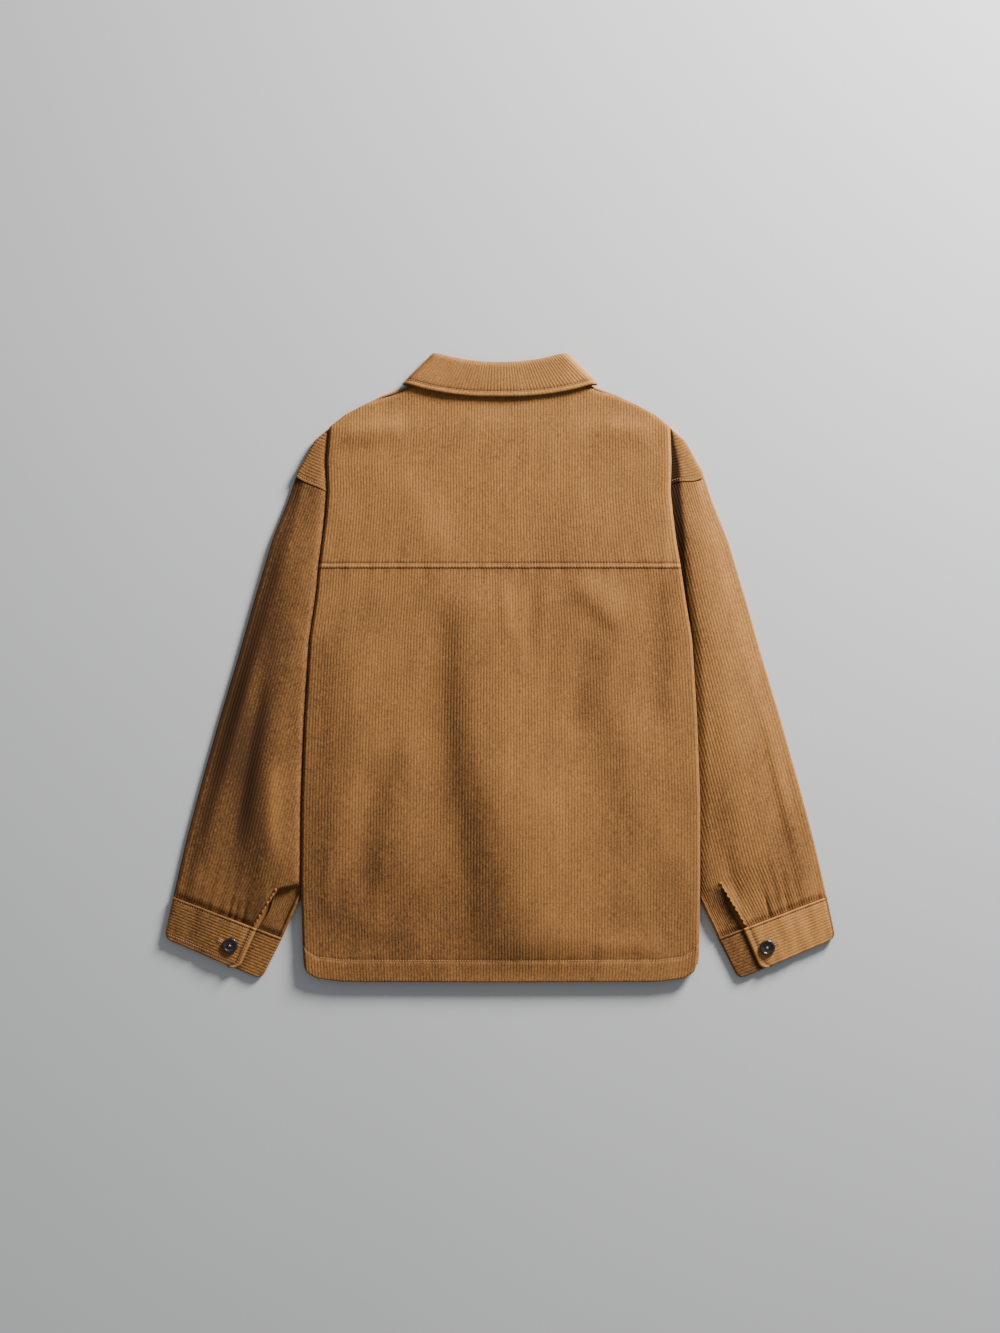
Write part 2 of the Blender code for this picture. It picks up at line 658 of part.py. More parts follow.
def cuffs(jacket):
    """Cuffs: a band wound once round, its lapped end on top of the underlap."""
    angles = np.linspace(-math.pi / 2, math.pi / 2, 2 * TUBE_ROLL_STEPS - 1)[1:-1]
    edge = CUFF_ROLL / CUFF_WIDTH
    underlap = np.linspace(CUFF_UNDERLAP_END, 1.0 - edge, 5)
    under = np.linspace(1.0 - edge, edge, 5)
    lap = np.array([edge, 0.12, 0.22, 0.32, 0.40, 0.48, 0.56, 0.66, CUFF_LAP_END])
    share = np.concatenate([underlap, 1.0 - edge * (1.0 - np.cos(angles)), under,
                            edge * (1.0 - np.cos(angles)), lap])
    lap_height = CUFF_TOP + (CUFF_LAP_TOP - CUFF_TOP) * smooth((lap - 0.38) / 0.10)
    height = np.concatenate([0 * underlap + CUFF_UNDERLAP_TOP,
                             CUFF_UNDERLAP_TOP * (0.5 - 0.5 * np.sin(angles)), 0 * under,
                             CUFF_TOP * (0.5 + 0.5 * np.sin(angles)), lap_height])
    down = np.array([0.0, 0.5, 1.0])[:, None, None]
    share = share[None, :, None]
    top = np.array(CUFF_TOP_OUTER) * (1 - share) + np.array(CUFF_TOP_INNER) * share
    bottom = np.array(CUFF_BOTTOM_OUTER) * (1 - share) + np.array(CUFF_BOTTOM_INNER) * share
    place = top * (1 - down) + bottom * down
    points = np.concatenate([place, np.broadcast_to(height[None, :, None], place.shape[:2] + (1,))], axis=-1)
    for side, word in ((-1, "left"), (1, "right")):
        jacket.cloth(f"cuff_{word}", mirrored(points, side), flip=side < 0)


def ring_points(rows):
    """Whole collar ring from the rows of its left half, the last of which lies near the middle."""
    left = np.array(rows)
    right = left[::-1] * np.array([-1.0, 1.0, 1.0])
    return np.concatenate([left, right])


def strip_row(upper, lower, outer_level, edge_level, stations, edge_radius):
    """One row across a collar piece, from its upper edge to its lower edge.

    Near the upper edge it curves from edge_level to outer_level over edge_radius.
    """
    upper, lower = np.array(upper), np.array(lower)
    width = np.linalg.norm(lower - upper)
    place = upper[None, :] + stations[:, None] * (lower - upper)[None, :]
    if edge_radius > 0.0:
        reach = np.clip(stations * width / edge_radius, 0.0, 1.0)
        curve = np.sqrt(1.0 - (1.0 - reach) ** 2)
    else:
        curve = np.ones(len(stations))
    height = edge_level + (outer_level - edge_level) * curve
    return np.concatenate([place, height[:, None]], axis=1)


def curve_point(line, share):
    """Point on a smooth curve through three points, at a share of the way."""
    start, middle, end = (np.array(point) for point in line)
    control = 2.0 * middle - 0.5 * (start + end)
    return (1 - share) ** 2 * start + 2 * share * (1 - share) * control + share ** 2 * end


def collar_fall(jacket):
    """Fall of the collar: front leaves on the surface, side rolls, and the back part on top."""
    stations = np.array([0.0, 0.02, 0.05, 0.12, 0.3, 0.55, 0.8, 1.0])
    front_edge = STAND_FRONT_BOTTOM + 0.5 * COLLAR_WALL
    back_edge = STAND_BACK_TOP - 0.5 * COLLAR_WALL
    corner, tip = np.array(COLLAR_CORNER), np.array(COLLAR_SIDE_TIP)
    inward = COLLAR_INWARD
    rows = []
    for share in (0.0, 0.25, 0.5, 0.75):
        upper = np.array(LEAF_NECK) * (1 - share) + (corner + inward * COLLAR_ROLL) * share
        lower = np.array(LEAF_POINT) * (1 - share) + (tip + inward * COLLAR_ROLL) * share
        rows.append(strip_row(upper, lower, 0.0, front_edge, stations, COLLAR_FOLD_RADIUS))
    for angle in np.radians(np.linspace(-90.0, 90.0, 7)):
        shift = inward * COLLAR_ROLL * (1.0 - math.cos(angle))
        turned = 0.5 + 0.5 * math.sin(angle)
        rows.append(strip_row(corner + shift, tip + shift, COLLAR_LEVEL * turned,
                              front_edge + (back_edge - front_edge) * turned, stations, COLLAR_FOLD_RADIUS))
    start_upper, start_lower = corner + inward * COLLAR_ROLL, tip + inward * COLLAR_ROLL
    for share in (0.2, 0.4, 0.6, 0.8, 1.0):
        upper = curve_point((start_upper, *COLLAR_TOP_EDGE), share)
        lower = curve_point((start_lower, *COLLAR_FREE_EDGE), share)
        rows.append(strip_row(upper, lower, COLLAR_LEVEL, back_edge, stations, COLLAR_FOLD_RADIUS))
    jacket.cloth("collar_fall", ring_points(rows), wall=COLLAR_WALL)


def collar_stand(jacket):
    """Stand of the collar: from the neck seam up to the fold, inside the fall."""
    stations = np.linspace(0.0, 1.0, 4)
    low = STAND_FRONT_BOTTOM
    fold_start, fold_end = np.array(LEAF_NECK), np.array(COLLAR_CORNER) + COLLAR_INWARD * COLLAR_ROLL
    run = (fold_end - fold_start) / np.linalg.norm(fold_end - fold_start)
    inwards = np.array([-run[1], run[0]]) * STAND_INSET
    rows = []
    for neck_x, share in STAND_FRONT_ROWS:
        lower = (neck_x, float(front_neck_line(np.array(neck_x))) + STAND_SEAM_GAP)
        upper = fold_start + (fold_end - fold_start) * share + inwards
        rows.append(strip_row(upper, lower, low, low, stations, 0.0))
    half = 0.5 * (STAND_BACK_TOP - low)
    middle = low + half
    seam, upper_edge = np.array(STAND_SIDE_SEAM), np.array(STAND_SIDE_UPPER)
    for angle in np.radians(np.linspace(-90.0, 90.0, 7)):
        shift = np.array([STAND_ROLL * (1.0 - math.cos(angle)), 0.0])
        height = middle + half * math.sin(angle)
        rows.append(strip_row(upper_edge + shift, seam + shift, height, height, stations, 0.0))
    for share in (0.33, 0.66, 1.0):
        x = (seam[0] + STAND_ROLL) * (1 - share) + LEAF_NECK[0] * share
        lower = (x, float(back_neck_line(np.array(x))) + STAND_SEAM_GAP)
        upper = curve_point(((upper_edge[0] + STAND_ROLL, upper_edge[1]),
                             (STAND_MIDDLE_X, COLLAR_TOP_EDGE[0][1] - STAND_INSET),
                             (LEAF_NECK[0], COLLAR_TOP_EDGE[1][1] - STAND_INSET)), share)
        rows.append(strip_row(upper, lower, STAND_BACK_TOP, STAND_BACK_TOP, stations, 0.0))
    jacket.cloth("collar_stand", ring_points(rows), wall=COLLAR_WALL)


def button_profile_mesh():
    """Half section of a button at +X, from the middle of its face down its outer side."""
    dish = BUTTON_RADIUS * 0.62
    rim = BUTTON_RADIUS * 0.80
    profile = ((0.0, BUTTON_THICK - BUTTON_DISH), (dish, BUTTON_THICK - BUTTON_DISH), (rim, BUTTON_THICK),
               (BUTTON_RADIUS - 0.4, BUTTON_THICK * 0.8), (BUTTON_RADIUS - 1.0, 0.0), (0.0, 0.0))
    mesh = bpy.data.meshes.new("button profile")
    vertices = [(x * MM, 0.0, z * MM) for x, z in profile]
    mesh.from_pydata(vertices, [(i, i + 1) for i in range(len(vertices) - 1)], [])
    return mesh


def hole_cutter(jacket):
    """Four drilled holes of a button, as one cutter of separate cylinders."""
    holes = []
    half = BUTTON_HOLE_SPACING / 2
    for x in (-half, half):
        for y in (-half, half):
            bpy.ops.mesh.primitive_cylinder_add(vertices=BUTTON_HOLE_SIDES, radius=BUTTON_HOLE_RADIUS * MM,
                                                depth=3 * BUTTON_THICK * MM,
                                                location=(x * MM, y * MM, 0.5 * BUTTON_THICK * MM))
            holes.append(bpy.context.object)
    bpy.ops.object.select_all(action="DESELECT")
    for hole in holes:
        hole.select_set(True)
    bpy.context.view_layer.objects.active = holes[0]
    bpy.ops.object.join()
    joined = bpy.context.object
    bpy.ops.object.transform_apply(location=True, rotation=True, scale=True)
    for collection in list(joined.users_collection):
        collection.objects.unlink(joined)
    jacket.cutters.objects.link(joined)
    joined.name = "button holes"
    joined.hide_render = True
    joined.display_type = "WIRE"
    return joined


def button_mesh(jacket):
    """Mesh of a drilled button, its back at Z = 0, turned from the profile and then cut."""
    blank = bpy.data.objects.new("button blank", button_profile_mesh())
    jacket.parts.objects.link(blank)
    screw = blank.modifiers.new("turn", "SCREW")
    screw.steps = BUTTON_SIDES
    screw.render_steps = BUTTON_SIDES
    screw.use_merge_vertices = True
    screw.merge_threshold = 0.00001
    cut = blank.modifiers.new("holes", "BOOLEAN")
    cut.operation = "DIFFERENCE"
    cut.object = hole_cutter(jacket)
    bpy.context.view_layer.update()
    evaluated = blank.evaluated_get(bpy.context.evaluated_depsgraph_get())
    mesh = bpy.data.meshes.new_from_object(evaluated)
    mesh.name = "button"
    mesh.shade_smooth()
    mesh.set_sharp_from_angle(angle=math.radians(35.0))
    bpy.data.objects.remove(blank)
    return mesh


def buttons(jacket):
    """Front buttons face down under the placket, and a button on the lap of each cuff."""
    mesh = button_mesh(jacket)
    mesh.materials.append(material("button", BUTTON_COLOUR, 0.45))
    for number in range(FRONT_BUTTON_COUNT):
        button = bpy.data.objects.new(f"front_button_{number + 1}", mesh)
        jacket.parts.objects.link(button)
        button.location = (0.0, (FRONT_BUTTON_TOP - number * FRONT_BUTTON_PITCH) * MM, BUTTON_THICK * MM)
        button.rotation_euler = (math.pi, 0.0, 0.0)
    for side, word in ((-1, "left"), (1, "right")):
        button = bpy.data.objects.new(f"cuff_button_{word}", mesh)
        jacket.parts.objects.link(button)
        button.location = (-side * CUFF_BUTTON[0] * MM, CUFF_BUTTON[1] * MM, (CUFF_LAP_TOP + SEAM_GAP) * MM)
        button.rotation_euler = (0.0, 0.0, side * math.radians(25.0))


def main():
    """Clear the scene and make every piece."""
    for item in list(bpy.data.objects):
        bpy.data.objects.remove(item)
    jacket = Jacket()
    back_pieces(jacket)
    front_pieces(jacket)
    drop_shoulders(jacket)
    sleeves(jacket)
    cuffs(jacket)
    collar_stand(jacket)
    collar_fall(jacket)
    buttons(jacket)


main()
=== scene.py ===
"""Looks of the corduroy shirt-jacket: ribbed cloth shells, stitching, buttons, light and camera.

The jacket lies on its front, back upwards, collar towards +Y, and the wearer's left is at -X.
Lengths are in millimetres until a mesh is made. Every cloth piece is a thin shell on the form of
its solid in the frame. Its wales are raised in the mesh, and its folds are set from the
photograph.
"""

import logging
import math
from dataclasses import dataclass
from enum import Enum
from typing import TypeVar

import bpy
import numpy as np
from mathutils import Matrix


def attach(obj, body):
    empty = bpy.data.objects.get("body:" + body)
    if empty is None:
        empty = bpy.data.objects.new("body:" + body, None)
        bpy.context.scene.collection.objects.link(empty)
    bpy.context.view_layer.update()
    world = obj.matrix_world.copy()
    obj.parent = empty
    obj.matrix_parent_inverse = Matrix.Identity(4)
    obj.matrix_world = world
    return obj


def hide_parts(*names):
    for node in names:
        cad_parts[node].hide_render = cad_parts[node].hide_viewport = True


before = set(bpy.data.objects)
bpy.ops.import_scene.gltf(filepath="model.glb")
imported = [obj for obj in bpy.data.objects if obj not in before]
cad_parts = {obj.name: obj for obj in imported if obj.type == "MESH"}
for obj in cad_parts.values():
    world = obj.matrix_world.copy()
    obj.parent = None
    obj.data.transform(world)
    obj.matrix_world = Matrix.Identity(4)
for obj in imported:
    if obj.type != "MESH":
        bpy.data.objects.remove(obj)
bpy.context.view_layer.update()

MM = 0.001
LOG = logging.getLogger("shacket")

Array = np.ndarray
Pair = tuple[float, float]
Point = tuple[float, float, float]
Colour = tuple[float, float, float]
Line = tuple[Pair, ...]
Value = TypeVar("Value")


class Side(Enum):
    """The wearer's side of a piece, as the sign of its x."""

    LEFT = -1
    RIGHT = 1

    @property
    def word(self) -> str:
        """Name of the side as the nodes use it."""
        return self.name.lower()

    def pick(self, left: Value, right: Value) -> Value:
        """The first of two values for the left side, the second for the right."""
        return left if self is Side.LEFT else right


class Slot(Enum):
    """Material slots of the record."""

    CORDUROY = "corduroy"
    BUTTON = "button"


def smooth(t: Array) -> Array:
    """Soft step: 3t^2 - 2t^3 between 0 and 1, and level outside."""
    t = np.clip(t, 0.0, 1.0)
    return t * t * (3.0 - 2.0 * t)


def bell(distance: Array, width: float | Array, power: int = 2) -> Array:
    """Bell curve, exp(-(distance / width)^power): 1 at distance 0."""
    return np.exp(-((distance / width) ** power))


def between(start: Array, end: Array, share: float | Array) -> Array:
    """Mix of two values: start where the share is 0, end where it is 1."""
    return start * (1 - share) + end * share


def table(rows: tuple, key: Array, value: int = 1) -> Array:
    """Read a table between its rows.

    Args:
        rows: rows of numbers, the first of each being the key.
        key: where to read.
        value: which number of the row is read.

    Returns:
        The values, straight between one row and the next.
    """
    data = np.array(sorted(rows), dtype=float)
    return np.interp(key, data[:, 0], data[:, value])


def curve_through(line: Line, count: int = 20) -> Array:
    """Smooth curve through points: a Catmull-Rom spline, cubic between each pair.

    Args:
        line: the points it passes through.
        count: how many points it is drawn with.

    Returns:
        Points along the curve, (count, 2).
    """
    points = np.array(line, dtype=float)
    ends = np.vstack([2 * points[0] - points[1], points, 2 * points[-1] - points[-2]])
    place = np.linspace(0.0, len(points) - 1.0, count)
    first = np.minimum(place.astype(int), len(points) - 2)
    t = (place - first)[:, None]
    a, b, c, d = (ends[first + i] for i in range(4))
    return 0.5 * (2 * b + (c - a) * t + (2 * a - 5 * b + 4 * c - d) * t**2 + (3 * b - a - 3 * c + d) * t**3)


def travelled(line: Array) -> Array:
    """Distance run along a line of points, 0 at the first of them."""
    steps = np.linalg.norm(np.diff(line, axis=0), axis=1)
    return np.concatenate([[0.0], np.cumsum(steps)])


def points_at(line: Array, travel: Array, wanted: Array) -> Array:
    """Points of a line at the wanted distances, where travel is the distance run at its own points."""
    return np.stack([np.interp(wanted, travel, line[:, i]) for i in range(line.shape[1])], axis=-1)


def nearest(values: Array, wanted: float) -> int:
    """Number of the value that is nearest to the wanted one."""
    return int(np.argmin(np.abs(values - wanted)))


@dataclass(frozen=True)
class Fold:
    """Soft ridge (height over 0) or trough along a curve, with its own width on either side.

    The same form serves as a band of painted shade or painted light; its height is then a change of
    lightness.
    """

    line: Line
    height: float
    left: Pair = (20.0, 20.0)
    right: Pair = (20.0, 20.0)
    fade: float = 0.25
    grow: float = 1.0

    def at(self, x: Array, y: Array) -> Array:
        """Height times exp(-(distance / width)^2), fading to nothing at both ends of the line.

        Args:
            x: places across.
            y: places along the body.

        Returns:
            The fold's height at each place.
        """
        points = curve_through(self.line)
        steps = np.linalg.norm(np.diff(points, axis=0), axis=1)
        starts = np.concatenate([[0.0], np.cumsum(steps)])
        best = np.full(np.shape(x), 1e9)
        along = np.zeros(np.shape(x))
        side = np.ones(np.shape(x))
        for (ax, ay), (bx, by), start, step in zip(points, points[1:], starts, steps):
            t = np.clip(((x - ax) * (bx - ax) + (y - ay) * (by - ay)) / step**2, 0.0, 1.0)
            off_x, off_y = x - ax - t * (bx - ax), y - ay - t * (by - ay)
            distance = np.hypot(off_x, off_y)
            nearer = distance < best
            best = np.where(nearer, distance, best)
            along = np.where(nearer, (start + t * step) / starts[-1], along)
            side = np.where(nearer, np.sign(off_x), side)
        left = self.left[0] + (self.left[1] - self.left[0]) * along
        right = self.right[0] + (self.right[1] - self.right[0]) * along
        ends = smooth(np.minimum(along, 1.0 - along) / self.fade)
        height = self.height * (1.0 + (self.grow - 1.0) * along)
        return height * ends * bell(best, np.where(side < 0, left, right))


@dataclass(frozen=True)
class PaintedPatch:
    """Patch of painted shade (below 0) or painted light."""

    centre: Pair
    reach: Pair
    change: float

    def at(self, x: Array, y: Array) -> Array:
        """The change times exp(-((x - cx) / rx)^2 - ((y - cy) / ry)^2)."""
        (cx, cy), (rx, ry) = self.centre, self.reach
        return self.change * np.exp(-(((x - cx) / rx) ** 2) - ((y - cy) / ry) ** 2)


def sum_at(shapes: tuple[Fold | PaintedPatch, ...], x: Array, y: Array) -> Array:
    """Sum of folds or patches at each place."""
    total = np.zeros(np.broadcast(x, y).shape)
    for shape in shapes:
        total = total + shape.at(x, y)
    return total


@dataclass(frozen=True)
class Wales:
    """Ribs of the corduroy: a rounded rib in each pitch, with a narrow valley between ribs."""

    pitch: float = 3.6
    height: float = 0.40
    places: tuple[float, ...] = (0.0, 0.12, 0.36, 0.64, 0.88)

    def stations(self, count: int) -> Array:
        """Wale coordinate of the mesh columns over a whole number of wales."""
        whole = np.arange(count)[:, None] + np.array(self.places)[None, :]
        return np.append(whole.ravel(), float(count))

    def rise(self, wale: Array) -> Array:
        """Rib height times the square root of sin(pi * place within the wale)."""
        return self.height * np.sqrt(np.sin(np.pi * np.mod(wale, 1.0)).clip(0.0))


WALES = Wales()
CLOTH_WALL = 1.7
THICK_WALL = 2.2
RIM_ANGLE = math.radians(75.0)
# Painted shade and light from the slope of a face: the steepest slope counted, the limits, and the columns it
# is smoothed over.
SHADE_SLOPE_MOST = 0.6
PAINTED_LIGHT_LIMITS = (-0.38, 0.16)
SHADE_SLOPE_WINDOW = 13
# Lowest share for the darkening by random tone and painted shade.
MOST_SHADE_AND_TONE = -0.05
# Painted crease shadow: where the painted shade is deeper than the first number, the colour is pulled towards
# this near-black.
CREASE_SHADOW_START = -0.5
CREASE_SHADOW_RATE = 1.6
CREASE_SHADOW_MOST = 0.72
CREASE_SHADOW_COLOUR: Colour = (26.0, 14.0, 7.0)


@dataclass
class Face:
    """Outer face of a cloth piece on a grid: rows run along the wales, columns across them."""

    points: Array
    wales: Array
    outward: int = 1
    # painted light and shade of the face, as a change of lightness
    nap: Array | float = 0.0
    rib_share: Array | float = 1.0
    welded_rows: int = 0

    def normals(self) -> Array:
        """Unit normals from the cross product of the grid's two directions."""
        along = np.gradient(self.points, axis=0)
        across = np.gradient(self.points, axis=1)
        normal = np.cross(across, along) * self.outward
        normal /= np.maximum(np.linalg.norm(normal, axis=2, keepdims=True), 1e-9)
        if self.welded_rows:
            shared = normal[: self.welded_rows, 0] + normal[: self.welded_rows, -1]
            shared /= np.linalg.norm(shared, axis=1, keepdims=True)
            normal[: self.welded_rows, 0] = shared
            normal[: self.welded_rows, -1] = shared
        return normal

    def ribbed(self) -> Array:
        """Face points moved outwards by the wales."""
        rise = WALES.rise(self.wales)[None, :] * self.rib_share
        return self.points + self.normals() * rise[..., None]

    def line(self, row: int | None = None, column: int | None = None, lift: float = 0.0) -> Array:
        """Points of one row or column, lifted off the face."""
        raised = self.points + self.normals() * lift
        return raised[row] if row is not None else raised[:, column]


def rim_fan(outer: Array, inner: Array, step: int) -> Array:
    """Triangles between a fine rim and a coarse one that has every step-th of its points.

    Args:
        outer: vertex numbers along the fine rim.
        inner: vertex numbers along the coarse rim.
        step: fine points to a coarse one.

    Returns:
        Triangles, (count, 3), facing away from the rim's first row.
    """
    cells = len(inner) - 1
    fine = np.arange(cells)[:, None] * step + np.arange(step)[None, :]
    near = np.arange(cells)[:, None] + (np.arange(step)[None, :] >= step // 2)
    fan = np.stack([outer[fine + 1], outer[fine], inner[near]], axis=-1).reshape(-1, 3)
    middle = np.arange(cells) * step + step // 2
    wedge = np.stack([outer[middle], inner[:-1], inner[1:]], axis=-1)
    return np.concatenate([fan, wedge])


def grid_quads(index: Array) -> Array:
    """Quads of a grid of vertex numbers, counter-clockwise over columns and then rows."""
    return np.stack([index[:-1, :-1], index[:-1, 1:], index[1:, 1:], index[1:, :-1]], axis=-1).reshape(-1, 4)


def shell_mesh(name: str, face: Face, wall: float = CLOTH_WALL) -> bpy.types.Mesh:
    """Closed shell: the ribbed face, a plain inner face a wall behind it, and the rims between.

    The inner face has one column for each wale. Rows that are welded join the first column to the
    last, so that the shell is a tube there and open below.

    Args:
        name: name of the mesh.
        face: outer face.
        wall: thickness of the cloth.

    Returns:
        The mesh, with a UV map in wales and two point attributes: the painted light and shade, and whether a
        point is on the inner face.
    """
    step = len(WALES.places)
    outer_points = face.ribbed()
    inner_points = (face.points - face.normals() * wall)[:, ::step]
    rows, columns = outer_points.shape[:2]
    inner_columns = inner_points.shape[1]
    outer = np.arange(rows * columns).reshape(rows, columns)
    inner = rows * columns + np.arange(rows * inner_columns).reshape(rows, inner_columns)

    side_rows = slice(max(face.welded_rows - 1, 0), None)
    quads = [grid_quads(outer), grid_quads(inner)[:, ::-1]]
    for column, order in ((0, 1), (-1, -1)):
        o, i = outer[side_rows, column], inner[side_rows, column]
        quads.append(np.stack([o[:-1], o[1:], i[1:], i[:-1]], axis=-1)[:, ::order])
    triangles = [rim_fan(outer[0], inner[0], step), rim_fan(outer[-1], inner[-1], step)[:, ::-1]]
    quads, triangles = np.concatenate(quads), np.concatenate(triangles)
    if face.outward < 0:
        quads, triangles = quads[:, ::-1], triangles[:, ::-1]

    travel = np.linalg.norm(np.diff(face.points, axis=0), axis=2)
    along = np.concatenate([np.zeros((1, columns)), np.cumsum(travel, axis=0)]) / WALES.pitch
    wale = np.broadcast_to(face.wales[None, :], (rows, columns))
    uv = np.concatenate([np.stack([wale, along], axis=-1).reshape(-1, 2),
                         np.stack([wale[:, ::step], along[:, ::step]], axis=-1).reshape(-1, 2)])
    nap = np.broadcast_to(np.asarray(face.nap, dtype=float), (rows, columns))
    nap = np.concatenate([nap.ravel(), nap[:, ::step].ravel()])
    is_inner = np.concatenate([np.zeros(rows * columns), np.ones(rows * inner_columns)])

    same = np.arange(len(uv))
    for numbers in (outer, inner):
        same[numbers[: face.welded_rows, -1]] = numbers[: face.welded_rows, 0]
    used, numbers = np.unique(same, return_inverse=True)
    points = np.concatenate([outer_points.reshape(-1, 3), inner_points.reshape(-1, 3)])[used]

    mesh = add_mesh(name, points * MM, numbers[quads].tolist() + numbers[triangles].tolist())
    corners = np.concatenate([uv[quads].reshape(-1, 2), uv[triangles].reshape(-1, 2)])
    mesh.uv_layers.new(name="wales").data.foreach_set("uv", corners.ravel())
    add_values(mesh, nap=nap[used], inner=is_inner[used])
    mesh.shade_smooth()
    mesh.set_sharp_from_angle(angle=RIM_ANGLE)
    return mesh


def slope_shade(points: Array, strength: float = 0.9) -> Array:
    """Painted shade and light from the slope of the face: darker where it faces -X, away from the key light,
    paler where it faces +X.

    Args:
        points: grid of points.
        strength: change of lightness for a slope of 1.

    Returns:
        Minus the strength times dz/dx, within limits.
    """
    run = np.gradient(points[..., 0], axis=1)
    run = np.where(np.abs(run) < 0.05, np.where(run < 0, -0.05, 0.05), run)
    slope = np.clip(np.gradient(points[..., 2], axis=1) / run, -SHADE_SLOPE_MOST, SHADE_SLOPE_MOST)
    kernel = np.hanning(SHADE_SLOPE_WINDOW) / np.hanning(SHADE_SLOPE_WINDOW).sum()
    padded = np.pad(slope, ((0, 0), (SHADE_SLOPE_WINDOW // 2, SHADE_SLOPE_WINDOW // 2)), mode="edge")
    slope = np.apply_along_axis(lambda row: np.convolve(row, kernel, mode="valid"), 1, padded)
    return np.clip(-strength * slope, *PAINTED_LIGHT_LIMITS)


def add_object(name: str, data: bpy.types.ID | None) -> bpy.types.Object:
    """New object of the scene."""
    made = bpy.data.objects.new(name, data)
    bpy.context.scene.collection.objects.link(made)
    return made


def add_mesh(name: str, points: Array, faces: list) -> bpy.types.Mesh:
    """New mesh from points and faces in their numbers."""
    made = bpy.data.meshes.new(name)
    made.from_pydata(points.tolist(), [], faces)
    return made


def add_values(mesh: bpy.types.Mesh, **values: Array) -> None:
    """Give a mesh point attributes of numbers."""
    for name, numbers in values.items():
        mesh.attributes.new(name, "FLOAT", "POINT").data.foreach_set("value", numbers)


def mirror(points: Array, side: Side) -> Array:
    """Points of the wearer's left piece, or their mirror image for the right one."""
    return points * np.array([-side.value, 1.0, 1.0])


def place(name: str, mesh: bpy.types.Mesh, finish: bpy.types.Material, slot: Slot,
          nodes: tuple[str, ...] = ()) -> bpy.types.Object:
    """Put a piece in the scene, with its material, body and the nodes that it stands for.

    Args:
        name: name of the object.
        mesh: its mesh, already in place.
        finish: its material.
        slot: not used.
        nodes: nodes of the frame that it replaces.

    Returns:
        The object.
    """
    piece = add_object(name, mesh)
    mesh.materials.append(finish)
    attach(piece, "root")
    if nodes:
        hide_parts(*nodes)
    LOG.info("%s: %d faces", name, len(mesh.polygons))
    return piece


def linear(red: float, green: float, blue: float) -> tuple[float, float, float, float]:
    """Linear colour of an sRGB one given from 0 to 255."""
    shares = np.array([red, green, blue]) / 255.0
    made = np.where(shares > 0.04045, ((shares + 0.055) / 1.055) ** 2.4, shares / 12.92)
    return (*[float(c) for c in made], 1.0)


def set_inputs(node: bpy.types.Node, values: dict[str, object]) -> None:
    """Set a node's inputs by their names."""
    for name, value in values.items():
        node.inputs[name].default_value = value


class NodeTree:
    """Short way to add and join shader nodes."""

    def __init__(self, tree: bpy.types.NodeTree) -> None:
        """Keep the tree that the nodes go into."""
        self.tree = tree

    def add(self, kind: str, **settings: object) -> bpy.types.Node:
        """New node with some of its settings."""
        node = self.tree.nodes.new(kind)
        for key, value in settings.items():
            setattr(node, key, value)
        return node

    def join(self, source: bpy.types.NodeSocket, target: bpy.types.NodeSocket) -> None:
        """Link one socket to another."""
        self.tree.links.new(source, target)

    def maths(self, operation: str, first: object, second: object = 0.0) -> bpy.types.NodeSocket:
        """Math node on sockets or numbers, and its output."""
        node = self.add("ShaderNodeMath", operation=operation)
        for value, socket in zip((first, second), node.inputs):
            self.feed(value, socket)
        return node.outputs[0]

    def feed(self, value: object, socket: bpy.types.NodeSocket) -> None:
        """Join a socket to another one, or set it."""
        if isinstance(value, bpy.types.NodeSocket):
            self.join(value, socket)
        else:
            socket.default_value = value

    def mix(self, share: object, first: object, second: object, blend: str = "MIX") -> bpy.types.NodeSocket:
        """Colour mix of sockets or colours, and its output."""
        node = self.add("ShaderNodeMix", data_type="RGBA", blend_type=blend)
        for value, number in ((share, 0), (first, 6), (second, 7)):
            self.feed(value, node.inputs[number])
        return node.outputs[2]

    def object_place(self) -> bpy.types.NodeSocket:
        """Coordinates of the object itself."""
        return self.add("ShaderNodeTexCoord").outputs["Object"]

    def noise(self, vector: bpy.types.NodeSocket, scale: float, detail: float = 2.0,
              rough: float = 0.5) -> bpy.types.NodeSocket:
        """Noise texture, its value."""
        node = self.add("ShaderNodeTexNoise")
        set_inputs(node, {"Scale": scale, "Detail": detail, "Roughness": rough})
        self.join(vector, node.inputs["Vector"])
        return node.outputs["Fac"]

    def scaled(self, vector: bpy.types.NodeSocket, scale: Point) -> bpy.types.NodeSocket:
        """Coordinates stretched by a Mapping node."""
        node = self.add("ShaderNodeMapping")
        set_inputs(node, {"Scale": scale})
        self.join(vector, node.inputs["Vector"])
        return node.outputs["Vector"]


def new_material(name: str) -> tuple[bpy.types.Material, NodeTree, bpy.types.Node]:
    """New material, its nodes and its Principled shader."""
    made = bpy.data.materials.new(name)
    made.use_nodes = True
    return made, NodeTree(made.node_tree), made.node_tree.nodes["Principled BSDF"]


